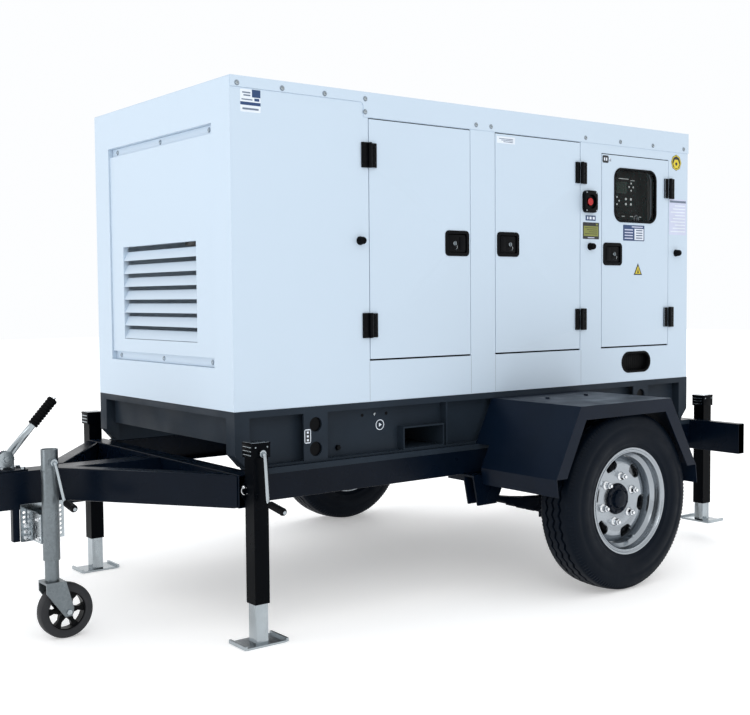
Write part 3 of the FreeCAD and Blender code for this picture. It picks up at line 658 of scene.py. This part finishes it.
def leaf_screws(leaf, x, z):
    for dz in (20, 49, 78):
        leaf.lathe([(5.5, 0), (5.5, 1.4), (4, 2.6), (1, 2.9)], (x, SIDE + 8, z + dz), Y,
                   20)


def wall_leaf(leaf, line, out, z):
    """Fixed leaf, the barrel on the hinge line and the web between them."""
    height = (z, z + LEAF_HIGH)
    leaf.block(sorted((line + out * 7, line + out * 36)), LEAF_Y, height, 3)
    leaf.rod((line, SIDE + 12, z), Z, 8, LEAF_HIGH, 24, 1.5)
    leaf.block(sorted((line, line + out * 12)), (SIDE + 3, SIDE + 8.6), height, 1)


def hinge_pieces():
    near, far = Shape(), Shape()
    for line, out, feet, name in HINGES:
        door = Shape()
        for z in feet:
            wall_leaf(near, line, out, z)
            leaf_screws(near, line + out * 24, z)
            door.block(sorted((line - out * 9.6, line - out * 36.6)), LEAF_Y,
                       (z + 0.5, z + LEAF_HIGH - 0.5), 3)
            leaf_screws(door, line - out * 24, z)
        if name == "door_control":
            piece("hinge_leaf_control", door, "black_plastic", name)
            continue
        for z in feet:
            wall_leaf(far, line, out, z)
        both_sides("hinge_leaf_" + name[5:], door, "black_plastic", name + "_%s")
    near.join(far.mirrored().bm)
    piece("hinge_bodies", near, "black_plastic", replaces="hinge_wall_leaves")


def ring_between(shape, outer, inner, low, high, flat):
    """Frame between two outlines of equal count, facing +Y."""
    def layer(t, y):
        return [at(a + (c - a) * t, y, b + (d - b) * t)
                for (a, b), (c, d) in zip(outer, inner)]

    rings = [layer(t, y) for t, y in ((0, low), (0, high - flat), (0.12, high),
                                      (0.88, high), (1, high - flat), (1, low))]
    shape.rings(rings + rings[:1])


def latch_pieces():
    """Moulded latch dishes, paddles and lock barrels."""
    wide, high, rim = 130, 104, 14
    for x, z, name, turn in LATCHES:
        dish = Shape()
        outer = rounded((x - 0.6, x + wide + 0.6), (z - 0.6, z + high + 0.6), 18)
        inner = rounded((x + rim, x + wide - rim), (z + rim, z + high - rim), 5)
        ring_between(dish, outer, inner, 562, 584.5, 1.6)
        dish.block((x + 12.5, x + wide - 12.5), (560.5, 563),
                   (z + 12.5, z + high - 12.5), 0.4)
        paddle = Shape()
        face = rounded((x + 17, x + wide - 17), (z + 17, z + high - 17), 6)
        paddle.prism(face, 572.5, 579.5, 1.4)
        grip = (x + 20, x + 50) if turn < 0 else (x + 80, x + 110)
        paddle.block(grip, (578, 581.6), (z + 24, z + 80), 1.6)
        lock = Shape()
        cx = x + 78 if turn < 0 else x + 52
        lock.lathe([(9.5, 0), (9.5, 2.5), (8.5, 4), (7.4, 4), (7, 2.6), (1, 2.6)],
                   (cx, 579, z + 52), Y, 32)
        lock.block((cx - 1, cx + 1), (580, 588), (z + 44, z + 60), 0.3)
        lock.lathe([(9.6, -0.8), (10.4, 0), (9.6, 0.8), (8.8, 0)],
                   (cx, 586, z + 35), (1, 0, 0.15), 28, loop=True)
        short = name[5:]
        pair = name != "door_control"
        near = short + "_left" if pair else short
        if pair:
            both_sides("latch_dish_" + short, dish, "black_plastic", name + "_%s")
        else:
            piece("latch_dish_control", dish, "black_plastic", name)
        latch = "latch_" + near
        for part, made, slot, node in (("latch_paddle", paddle, "black_plastic", latch),
                                       ("lock_barrel", lock, "zinc", None)):
            if pair:
                far = made.mirrored()
                piece("%s_%s_right" % (part, short), far, slot, name + "_right")
            piece("%s_%s" % (part, near), made, slot, latch, replaces=node)


def screw(shape, spot, axis, r, h):
    """Button-head screw with a hexagon socket ring."""
    shape.lathe([(r, 0), (r, h * 0.35), (r * 0.8, h * 0.85), (r * 0.45, h),
                 (r * 0.42, h * 0.5), (0.3, h * 0.5)], spot, axis, 20)


def canopy_screws():
    bolts = Shape()
    # Dark rings a little wider than each screw head, in the seam colour: painted shade
    # round the screws
    screw_shade_rings = Shape()
    left = [(x, 1987) for x in (-29, -220, -409, -600)]
    left += [(x, 1937) for x in (-599, -1179, -1264, -1853, -2092, -2328, -2563)]
    spots = [((x, side * 582.8, z), (0, side, 0)) for x, z in left for side in (1, -1)]
    spots += [((-2601.8, y, 1990), (-1, 0, 0)) for y in (-520, -180, 180, 520)]
    spots += [((-20.2, y, z), X) for y in (-395, 0, 395) for z in (984, 1842)]
    for spot, out in spots:
        screw_shade_rings.lathe([(10.5, 0), (10.5, 0.5), (1, 0.5)], spot, out, 24)
        screw(bolts, Vector(spot) + 0.3 * Vector(out), out, 7.2, 4.5)
    piece("canopy_screw_shade_rings", screw_shade_rings, "zinc", look="seam")
    piece("canopy_screws", bolts, "zinc")


def seams():
    """Hairline joints between the folded side panels."""
    lines = Shape()
    for x in (-614, -1150, -1290, -1827):
        for y in ((578, 580.25), (-580.25, -578)):
            lines.block((x - 0.8, x + 0.8), y, (816, 971), 0)
    piece("panel_seams", lines, "black_plastic", look="seam")


# Low X, high X, sill and head of each door opening.
OPENINGS = {
    "door_front_left": (-1149, -615, 973, 1916),
    "door_mid_left": (-1822, -1289, 973, 1916),
    "door_control": (-2452, -1964, 975, 1877),
}


def skid_details():
    """Lip along the rails, painted shade in the lifting holes and small fittings on the
    webs.
    """
    # The lip is in the lighter skid paint on the dark rails: a painted highlight along
    # the top of each rail.
    lip = Shape()
    for ends in ((-1262, -46), (-2599, -1824)):
        lip.block(ends, (599.6, 601.6), (578, 600.6), 0.8)
    both_sides("skid_lip", lip, "skid_paint")
    dark = Shape()
    # Black discs just behind the lifting holes: painted shade inside the holes.
    for x in (-353, -2247):
        for z in (743, 650):
            dark.rod((x, 571, z), Y, 28.5, 2, 40, 0)
    for x in (-602, -722):
        dark.lathe([(6.5, 0), (6.5, 1), (1, 1)], (x, SKID_WEB, 757), Y, 20)
    dark.hexagon((-480, SKID_WEB, 640), Y, 19, 12)
    both_sides("skid_hole_shade_and_fittings", dark, "skid_paint", look="black_plastic")
    bolts = Shape()
    screw(bolts, (-662, 541.8, 758), Y, 7, 5)
    both_sides("skid_bolts", bolts, "zinc")


def canopy_skins():
    """Roof and front sheets without the joints of their solids."""
    roof, inside, step = Shape(), Shape(), Shape()
    roof.block((-2602, -1), (-583, 583), (1918, 2014), 0)
    inside.block((-2610, 10), (-580.2, 580.2), (1900, 1974), 0)
    bend = 18
    outline = [(-592, 1900), (10, 1900), (10, 1974), (-592 + bend, 1974)]
    outline += [(-592 + bend - bend * sin(t), 1974 - bend + bend * cos(t))
                for t in (pi / 2 * i / 6 for i in range(1, 7))]
    step.prism(outline, -600, 600)
    settle(carved("roof_skin", roof, inside, step), "canopy_paint", bevel=3,
           replaces="canopy_roof")
    front, hole = Shape(), Shape()
    front.block((-3, 1.4), (-580.6, 580.6), (812.4, 2011), 0)
    hole.block((-10, 10), (-445, 445), (966, 1860), 0)
    settle(carved("front_skin", front, hole), "canopy_paint", bevel=1.2)


def door_linings():
    """Black rubber seals filling the door gaps, which also paint the shade deep in the
    gaps, and foam on the backs of the doors.
    """
    for name, (low, high, sill, head) in OPENINGS.items():
        seal = Shape()
        gaps = (((low, low + 1.8), (sill, head)), ((high - 1.8, high), (sill, head)),
                ((low, high), (sill, sill + 5)), ((low, high), (head - 2.6, head)))
        for x, z in gaps:
            # Each gap is filled with black: part rubber seal, part painted shade of the
            # gap.
            seal.block(x, (546, 573), z, 0.3)
        foam = Shape()
        foam.block((low + 30, high - 30), (540.4, 543.2), (sill + 34, head - 30), 1)
        short = name.replace("door_", "").replace("_left", "")
        if name == "door_control":
            piece("seal_control", seal, "rubber")
            hole = Shape()
            hole.block((-2364, -2045), (530, 550), (1558, 1824), 0)
            settle(carved("foam_control", foam, hole), "rubber", name, "foam")
        else:
            both_sides("seal_" + short, seal, "rubber")
            both_sides("foam_" + short, foam, "rubber", "door_%s_%%s" % short,
                       look="foam")


def door_stops():
    """Round rubber buffers on the doors and walls."""
    stops = Shape()
    spots = [(-571, 1441, 1), (-1886, 1446, 1), (-2509, 1427, 1), (-571, 1441, -1),
             (-1886, 1446, -1)]
    for x, z, side in spots:
        stops.lathe([(17, 0), (17, 3), (15.5, 6), (14.5, 22), (12.5, 27), (8, 28),
                     (6, 25), (1, 25)], (x, side * SIDE, z), (0, side, 0), 32)
    piece("door_stops", stops, "rubber", replaces="rubber_bumpers")


def make_hardware():
    hinge_pieces()
    latch_pieces()
    canopy_screws()
    skid_details()
    canopy_skins()
    door_linings()
    seams()
    door_stops()


# ---- instruments

def window_pieces():
    """Gasket and dark pane in the control door."""
    gasket = Shape()
    outer = rounded((-2358, -2051), (1564, 1818), 50, 10)
    inner = rounded((-2347, -2062), (1575, 1807), 40, 10)
    ring_between(gasket, outer, inner, 560, 584, 3)
    piece("window_gasket", gasket, "black_plastic", "door_control",
          replaces="control_window")
    pane = Shape()
    pane.prism(rounded((-2349, -2060), (1573, 1809), 42, 10), 573, 577, 0.6)
    piece("window_pane", pane, "window_glass", "door_control")


def controller_pieces():
    """Fascia behind the window, with its screen, keys and key switch."""
    plate_y, face_y = 535, 548
    fascia = Shape()
    fascia.prism(rounded((-2345, -2064), (1570, 1812), 12), plate_y - 0.5, plate_y + 1,
                 0.4)
    fascia.prism(rounded((-2246, -2072), (1612, 1786), 9), plate_y, face_y + 1, 2)
    piece("control_fascia", fascia, "black_plastic", look="fascia")
    screen = Shape()
    screen.prism(rounded((-2178, -2096), (1704, 1758), 3), face_y, face_y + 2, 0.4)
    piece("control_screen", screen, "black_plastic", look="screen")
    marks = Shape()
    for x, z in ((-2210, 1736), (-2108, 1668)):
        for t in turns(4):
            marks.rod((x + 15 * cos(t), face_y, z + 17 * sin(t)), Y, 4.4, 2, 16)
    for x in (-2172, -2208):
        for z in (1654, 1678):
            marks.rod((x, face_y, z), Y, 6, 2.4, 20)
    for z in (1712, 1730, 1748):
        marks.rod((-2084, face_y, z), Y, 1.8, 1.6, 12)
    marks.block((-2190, -2120), (face_y, face_y + 1.6), (1771, 1774), 0)
    marks.block((-2236, -2204), (face_y, face_y + 1.6), (1766, 1768), 0)
    for x in (-2300, -2240, -2180, -2120):
        marks.block((x, x + 22), (plate_y + 0.6, plate_y + 1.4), (1596, 1599), 0)
    # The lamp finish makes these marks glow: painted light, since they are not lamps.
    piece("control_marks", marks, "cabinet_paint", look="lamp")
    key = Shape()
    key.lathe([(19, 0), (19, 3), (13, 4), (11, 13), (2, 13)], (-2262, plate_y, 1588), Y,
              36)
    key.block((-2264, -2260), (546, 552), (1578, 1598), 1)
    piece("control_key_switch", key, "zinc")


def e_stop_pieces():
    """Stop switch: case with a well, ring, red mushroom and four screws."""
    x, z = E_STOP
    case, well = Shape(), Shape()
    case.prism(rounded((x - 41.6, x + 41.6), (z - 49.4, z + 50.4), 18, 8),
               SIDE + 0.1, SIDE + 19.8, 3)
    well.rod((x, SIDE + 6, z), Y, 32.5, 30, 64, 0)
    settle(carved("e_stop_case", case, well), "black_plastic", bevel=0.8,
           replaces="e_stop_box")
    mushroom = Shape()
    mushroom.lathe([(8, -4), (8, 0), (15, 0.3), (17, 1.2), (17, 3.6), (15.5, 5.2),
                    (11, 5.5), (10.4, 4.4), (5.6, 4.4), (5, 5.4), (0.5, 5.5)],
                   (x, SIDE + 9, z), Y, 48)
    piece("e_stop_mushroom", mushroom, "stop_red", "e_stop_button",
          replaces="e_stop_button")
    ring = Shape()
    ring.lathe([(30, 0), (30, 3.4), (27, 4), (19.5, 1.6), (19.5, 0)],
               (x, SIDE + 5.8, z), Y, 48, loop=True)
    piece("e_stop_ring", ring, "black_plastic")
    screws = Shape()
    for dx in (-32, 32):
        for dz in (-40, 41):
            screw(screws, (x + dx, SIDE + 19.6, z + dz), Y, 3.6, 1.6)
    piece("e_stop_screws", screws, "zinc")


def cable_outlet():
    """Oval rubber trim with overlapping flaps."""
    outlet = Shape()
    outer = rounded((-2319, -2108), (853, 954), 50, 12)
    inner = rounded((-2306, -2121), (864, 943), 38, 12)
    ring_between(outlet, outer, inner, 549, 583, 2.5)
    outlet.block((-2312, -2115), (547, 550), (858, 947), 0.8)
    for i in range(12):
        x = -2308 + 15.8 * i
        outlet.block((x, x + 15), (555, 558), (860, 945), 1)
    piece("cable_outlet_trim", outlet, "rubber")


def make_controls():
    window_pieces()
    controller_pieces()
    e_stop_pieces()
    cable_outlet()


def label(name, a, b, plane, fill, bars=(), body="trailer", corner=4, triangle=False):
    """Thin sticker with plain printed bars, given as fractions of its a and b."""
    plate = Shape()
    outline = rounded(a, b, corner)
    if triangle:
        outline = [(a[0], b[0]), (a[1], b[0]), ((a[0] + a[1]) / 2, b[1])]
    plate.prism(outline, plane, plane + 0.5)
    piece(name, plate, "canopy_paint", body, look="ink_" + fill)
    inks = {}
    for layer, (ink, u, v) in enumerate(bars):
        u0, u1 = (a[0] + (a[1] - a[0]) * t for t in u)
        v0, v1 = (b[0] + (b[1] - b[0]) * t for t in v)
        top = plane + 0.8 + 0.06 * layer
        inks.setdefault(ink, Shape()).prism([(u0, v0), (u1, v0), (u1, v1), (u0, v1)],
                                            plane + 0.4, top)
    for ink, marks in inks.items():
        piece("%s_ink_%s" % (name, ink), marks, "canopy_paint", body, look="ink_" + ink)


def text_bars(rows, height, left=0.12, right=0.88, ink="dark"):
    """Plain bars that stand for print, with a ragged right end."""
    return [(ink, (left, right - 0.12 * (i % 3)), (v, v + height))
            for i, v in enumerate(rows)]


def make_labels():
    label("label_front_corner", (-128, -44), (1888, 1969), 580, "white",
          [("blue", (0, 0.42), (0.66, 1)), ("blue", (0, 1), (0.3, 0.44)),
           ("slate", (0.5, 0.9), (0.82, 0.88)), ("slate", (0.5, 0.84), (0.7, 0.76)),
           ("blue", (0.06, 0.3), (0.5, 0.62)), ("slate", (0.4, 0.94), (0.52, 0.57)),
           ("slate", (0.1, 0.9), (0.1, 0.18))])
    label("label_plate_blue", (-2270, -2116), (1479, 1553), 580.1, "blue",
          [("white", (0.04, 0.47), (0.06, 0.78))]
          + [("blue", (0.1, 0.4), (v, v + 0.06)) for v in (0.16, 0.32, 0.48, 0.64)]
          + [("pale", (0.55, 0.93), (v, v + 0.07)) for v in (0.12, 0.3, 0.48, 0.66)]
          + [("pale", (0.08, 0.6), (0.86, 0.92))], "door_control")
    label("label_stop_yellow", (-1947, -1838), (1480, 1556), 580.1, "dark",
          [("olive", (0.05, 0.95), (0.18, 0.78))]
          + text_bars((0.66, 0.54, 0.42, 0.3), 0.03)
          + [("olive", (0.08, 0.2), (0.84, 0.94)), ("pale", (0.3, 0.7), (0.06, 0.11))])
    label("label_stop_name", (-1924, -1856), (1564, 1588), 580.1, "blue",
          [("white", u, (0.25, 0.75))
           for u in ((0.1, 0.3), (0.42, 0.62), (0.74, 0.86))], corner=2)
    label("label_rating_plate", (-2590, -2457), (1516, 1690), 580.1, "pale",
          [("slate", (0.03, 0.97), (0.9, 0.96))]
          + text_bars([0.08 + 0.09 * i for i in range(9)], 0.03, 0.08, 0.92, "white"))
    label("label_door_head", (-1408, -1300), (1873, 1902), 580.1, "white",
          text_bars((0.62, 0.42, 0.2), 0.1, ink="slate"),
          "door_mid_left", corner=2)
    label("label_frequency", (-2012, -1970), (1834, 1868), 580.1, "dark",
          [("white", u, (0.3, 0.7)) for u in ((0.24, 0.42), (0.58, 0.76))],
          "door_control", corner=8)
    label("label_unit", (-2030, -2016), (1840, 1858), 580.1, "white",
          [("slate", (0.1, 0.4), (0.1, 0.9)), ("slate", (0.55, 0.9), (0.1, 0.6))],
          "door_control", corner=2)
    for name, a, b, plane, fill in (
            ("label_hazard", (-2254, -2194), (1318, 1374), 580.1, "dark"),
            ("label_hazard_field", (-2244, -2204), (1323.5, 1362), 580.5, "yellow"),
            ("label_hazard_mark", (-2230, -2218), (1327, 1350), 580.9, "dark")):
        label(name, a, b, plane, fill, (), "door_control", triangle=True)
    disc, ring = Shape(), Shape()
    middle = (-2509, 580.1, 1868)
    disc.lathe([(39, 0), (39, 0.5), (1, 0.5)], middle, Y, 8)
    piece("label_round", disc, "canopy_paint", look="ink_dark")
    ring.lathe([(37, 0.4), (37, 0.9), (32, 0.9), (32, 0.4)], middle, Y, 8, loop=True)
    ring.lathe([(24, 0.4), (24, 0.9), (9, 0.9), (9, 0.4)], (-2509, 580.1, 1862), Y, 6,
               loop=True)
    piece("label_round_ink", ring, "canopy_paint", look="ink_yellow")
    badge = Shape()
    middle = (-690, SKID_WEB, 713)
    badge.lathe([(21, 0), (21, 0.8), (18, 0.8), (18, 0)], middle, Y, 40, loop=True)
    badge.lathe([(9, 0), (9, 0.8)], middle, Y, 3)
    piece("skid_earth_badge", badge, "skid_paint", look="ink_white")
    label("skid_lift_label", (-330, -301), (674, 727), 582, "white",
          [("dark", (0.1, 0.9), (0.07, 0.93))]
          + [("white", (0.35, 0.65), v)
             for v in ((0.7, 0.84), (0.43, 0.57), (0.16, 0.3))], corner=7)


# ---- drawbar

def brake_lever():
    """Hand lever with a ribbed grip and a push knob."""
    turn = Matrix.Rotation(-atan2(210, -188), 3, "Y")
    along = turn @ Vector(X)
    pivot = Vector(LEVER)
    bar = Shape()
    bar.lathe([(22, -6), (23, -5), (23, 5), (22, 6)], pivot, Y, 40)
    section = ((1, 0.7), (0.7, 1), (-0.7, 1), (-1, 0.7), (-1, -0.7), (-0.7, -1),
               (0.7, -1), (1, -0.7))
    bar.rings([[at(*(pivot + turn @ Vector((d, wide * p, deep * q))))
                for p, q in section]
               for d, wide, deep in ((10, 5.8, 15), (60, 5.8, 14), (110, 8, 12.5),
                                     (150, 10, 11), (185, 11, 11))], caps=True)
    piece("brake_lever_bar", bar, "zinc", "handbrake", replaces="handbrake_lever")
    grip = Shape()
    profile = [(15, 158), (19.5, 160)]
    for d in range(166, 266, 12):
        profile += [(19.5, d), (16.8, d + 1.5), (16.8, d + 4), (19.5, d + 5.5)]
    profile += [(19.5, 276), (17, 280), (8, 280.5)]
    grip.lathe(profile, pivot, along, 36)
    piece("brake_lever_grip", grip, "rubber", "handbrake")
    knob = Shape()
    knob.lathe([(7, 278), (7, 288), (5.5, 289.6), (1, 290)], pivot, along, 28)
    piece("brake_lever_knob", knob, "zinc", "handbrake", look="bright")


def brake_bracket():
    """Toothed quadrants beside the lever, with their bolts."""
    x, z = LEVER[0], LEVER[2]
    quadrant = Shape()
    outline = [(x - 30, 597), (x + 30, 597)]
    for i in range(27):
        t = radians(-12 + 204 * i / 26)
        r = 31 if i % 2 else 28
        outline.append((x + r * cos(t), z + r * sin(t)))
    quadrant.prism(outline, 12.7, 15, 0.4)
    quadrant.prism(outline, -15, -12.7, 0.4)
    piece("brake_quadrant", quadrant, "zinc")
    bolts = Shape()
    for side in (1, -1):
        bolts.hexagon((x, side * 15, z), (0, side, 0), 19, 8)
    for dx in (-20, 20):
        bolts.hexagon((x + dx, 15, 608), Y, 10, 5)
    for dx in (-55, 55):
        for y in (-28, 28):
            bolts.hexagon((x + dx, y, 601), Z, 17, 8)
    piece("brake_bracket_bolts", bolts, "zinc")


def jockey_wheel():
    """Rubber tread, spoked core and axle nuts."""
    x, y, z = centre = JOCKEY_HUB
    wheel = Shape()
    rim = [(70, -22), (79, -25), (90, -25.5), (97, -22), (100, -14), (100, 14),
           (97, 22), (90, 25.5), (79, 25), (70, 22), (68, 10), (68, -10)]
    wheel.lathe(rim, centre, Y, 64, loop=True)
    piece("jockey_tread", wheel, "rubber", "jockey_wheel", replaces="jockey_wheel",
          look="grey_rubber")
    core = Shape()
    core.lathe([(66, -18), (71, -18), (71, 18), (66, 18), (66, 6), (66, -6)], centre,
               Y, 64, loop=True)
    core.lathe([(8.2, -31), (22, -31), (24, -26), (26, 0), (24, 26), (22, 31),
                (8.2, 31)], centre, Y, 48, loop=True)
    for t in turns(6):
        out = Vector((cos(t), 0, sin(t)))
        side = Vector((-sin(t), 0, cos(t)))
        core.rings([[at(*(Vector(centre) + out * r + side * (wide * p)
                          + Vector((0, deep * q, 0))))
                     for p, q in ((1, -1), (1, 1), (-1, 1), (-1, -1))]
                    for r, wide, deep in ((22, 13, 12), (45, 7, 9), (68, 13, 13))],
                   caps=True)
    piece("jockey_wheel_core", core, "black_plastic", "jockey_wheel", bevel=1)
    nuts = Shape()
    for side in (-1, 1):
        nuts.hexagon((x, y + side * 40, z), (0, side, 0), 19, 8)
    nuts.rod((*JOCKEY_TUBE, 214), Z, 22, 1.6, 32)
    piece("jockey_axle_nuts", nuts, "zinc", "jockey_fork")


def make_clamp():
    """Perforated clamp plate, channel bracket and the open-topped outer tube."""
    base, holes = Shape(), Shape()
    base.block((433, 598), (50, 57), (336, 475), 0)
    base.block((504, 576), (56, 66), (350, 456), 0)
    for x in (504, 568):
        base.block((x, x + 8), (60, 194), (350, 456), 0)
    for z in range(352, 470, 17):
        holes.rod((447, 40, z), Y, 5.5, 30, 16, 0)
        if z < 400:
            holes.rod((585, 40, z + 58), Y, 5.5, 30, 16, 0)
    for y in (88, 120, 152):
        for z in (372, 403, 434):
            holes.rod((495, y, z), X, 7, 90, 20, 0)
    settle(carved("jockey_bracket", base, holes), "galvanised", look="zinc", bevel=1)
    pipe = Shape()
    pipe.lathe([(26, 0), (30, 0), (30.4, 1), (30.4, 399), (30, 400), (26.4, 400),
                (26, 399)], (*JOCKEY_TUBE, 290), Z, 64, loop=True)
    pipe.lathe([(26.2, 0), (26.2, 3), (20, 5), (1, 5)], (*JOCKEY_TUBE, 675), Z, 48)
    pipe.lathe([(10, 0.3), (16, 0.4), (16, 8), (14, 10), (8.2, 10)], JOCKEY_CRANK,
               Y, 40)
    pipe.lathe([(31.5, 0), (32.5, 2), (32.5, 10), (31.5, 12), (29, 12), (29, 0)],
               (*JOCKEY_TUBE, 610), Z, 48, loop=True)
    piece("jockey_outer_tube", pipe, "galvanised", replaces="jockey_clamp")
    bolts = Shape()
    for z in (352, 374, 396):
        bolts.hexagon((580, 57, z), Y, 17, 9, 0.2 * z)
        bolts.rod((580, 65, z), Y, 5, 6, 20)
    for x in (518, 562):
        bolts.hexagon((x, 66, 403), Y, 15, 8, 0.1 * x)
    for z in (368, 438):
        bolts.hexagon((576, 182, z), X, 15, 7)
        bolts.rod((583, 182, z), X, 4.5, 6, 20)
    piece("jockey_clamp_bolts", bolts, "zinc", look="bright")


def make_crank(name, node, start, axis, drop, lean, grip_long):
    """Bent-bar crank with a collar, a long arm and a grooved grip."""
    s, a = Vector(start), Vector(axis)
    turn = radians(lean)
    down = Vector((-sin(turn), 0, -cos(turn)))
    bar = Shape()
    bar.lathe([(7.9, 0), (7.9, 22)], s, a, 24)
    bar.lathe([(12, 6), (13, 7), (13, 20), (12, 21)], s, a, 32)
    elbow = s + down * drop + a * 38
    slope = (a + Vector((0, 0, -0.16))).normalized()
    bar.sweep([s + a * 12, s + a * 26 + down * 2, s + a * 30 + down * 16,
               s + a * 31 + down * drop * 0.5, s + a * 31 + down * (drop - 18), elbow,
               elbow + slope * 14, elbow + slope * (grip_long + 3)], 6.5)
    piece(name + "_bar", bar, "zinc", node, replaces=node)
    grip = Shape()
    profile = [(8, 4), (10.5, 5), (12.5, 10)]
    step = (grip_long - 26) / 5
    for i in range(5):
        d = 14 + step * i
        profile += [(13.6, d), (12.4, d + 2), (12.4, d + step - 4),
                    (13.8, d + step - 2)]
    profile += [(14, grip_long - 8), (11.5, grip_long - 2), (7.5, grip_long)]
    grip.lathe(profile, elbow, slope, 32)
    piece(name + "_grip", grip, "black_plastic", node)


def make_drawbar():
    brake_lever()
    brake_bracket()
    jockey_wheel()
    make_crank("jockey_crank_handle", "jockey_crank", JOCKEY_CRANK, Y, 145, 12, 84)
    make_clamp()


# Tube centre, lean of the crank, length of its grip, way that the crank faces.
JACKS = {"front": (-14, 705, 3, 100, Y), "rear": (-2705, 600, 0, 72, (-1, 0, 0))}
PIVOT_Z = 540


def jack_sleeves():
    """Swivel sleeves that stand on the rails."""
    sleeves = Shape()
    for side in (1, -1):
        sleeves.lathe([(21.2, 0.6), (21.8, 0), (24.4, 0), (25, 0.6), (25, 27.4),
                       (24.4, 28), (21.8, 28), (21.2, 27.4)],
                      (-14, side * 640, PIVOT_Z), (0, side, 0), 64, loop=True)
        sleeves.lathe([(21.2, 0.6), (21.8, 0), (29.4, 0), (30, 0.6), (30, 22.4),
                       (29.4, 23), (0.5, 23), (0.5, 18.6), (21.2, 18.6)],
                      (-2668, side * 600, PIVOT_Z), X, 64, loop=True)
    piece("jack_sleeves", sleeves, "chassis_paint", replaces="jack_mounts")


def jack_trim(x, y, ahead):
    """Screws, zinc ribs and a plate on the cap, and a collar on the spigot."""
    trim = Shape()
    for dx in (-24, 24):
        screw(trim, (x + dx, y + 34.2, 702), Y, 3.4, 2.6)
    for z in (672, 686, 700):
        trim.block((x + 36, x + 39), (y - 27, y + 27), (z, z + 4), 1)
    trim.block((x - 34, x + 34), (y - 31, y + 31), (716.5, 718.2), 0.8)
    trim.lathe([(21, 0), (24, 2), (24, 8), (21, 10), (19, 10), (19, 0)],
               (x, y - 46, PIVOT_Z) if ahead else (x + 36, y, PIVOT_Z),
               Y if ahead else X, 40, loop=True)
    return trim


def jack_pin(x, y, out):
    """Lock pin of the swivel with its pull ring."""
    pin = Shape()
    seat = Vector((x + 37.5, y - 28.2, 558) if out == Y else (x + 28.2, y + 37.5, 558))
    out = Vector(out)
    pin.lathe([(5, 0), (6.5, 1), (6.5, 6), (4.5, 8), (4.5, 12), (1, 13)], seat, out, 24)
    pin.lathe([(13.4, -1.4), (14.8, 0), (13.4, 1.4), (12, 0)],
              seat + out * 10 + Vector((0, 0, -13)), out + Vector((0, 0, 0.25)), 28,
              loop=True)
    return pin


def make_jacks():
    jack_sleeves()
    for corner, (x, y, lean, grip, out) in JACKS.items():
        for side, sign in (("left", 1), ("right", -1)):
            jack = "jack_%s_%s" % (corner, side)
            start = (x + 27 * out[0], sign * (y + 27 * out[1]), 680)
            make_crank(jack + "_handle", jack + "_crank", start,
                       (out[0], sign * out[1], 0), 175, lean, grip)
        tube = "jack_%s_%%s_tube" % corner
        cap = Shape()
        cap.block((x - 37.5, x + 37.5), (y - 34.5, y + 34.5), (666, 714), 3)
        cap.block((x - 38.5, x + 38.5), (y - 35.5, y + 35.5), (711, 717.5), 2)
        both_sides("jack_cap_" + corner, cap, "jack_paint", tube)
        both_sides("jack_screws_" + corner, jack_trim(x, y, out == Y), "zinc", tube)
        both_sides("jack_lock_pin_" + corner, jack_pin(x, y, out), "zinc", tube,
                   look="bright")


# ---- assembly

# CAD nodes that are kept, by the width of their rolled edge.
ROLLED = {
    1: "jockey_stem",
    1.2: "leaf_springs fan door_control canopy_wall_%s door_front_%s door_mid_%s",
    1.5: "canopy_front_wall front_louvre_panel canopy_rear_wall jockey_fork",
    1.6: "mudguards",
    1.8: "jack_front_%s_leg jack_rear_%s_leg",
    2: "skid_frame",
    2.5: "coupling_housing",
    3: "tow_eye radiator control_cabinet",
    3.5: "jack_front_%s_tube jack_rear_%s_tube",
    4: "chassis_side_rails chassis_crossmembers axle_beam fuel_tank silencer battery",
    5: "alternator",
    6: "drawbar_arms drawbar_beam engine",
}

MATS = make_materials()
make_camera()
make_studio()
for width, nodes in ROLLED.items():
    for node in nodes.split():
        for side in ("left", "right") if "%s" in node else ("",):
            softened(node.replace("%s", side), width)
make_wheels()
make_hardware()
make_controls()
make_labels()
make_drawbar()
make_jacks()
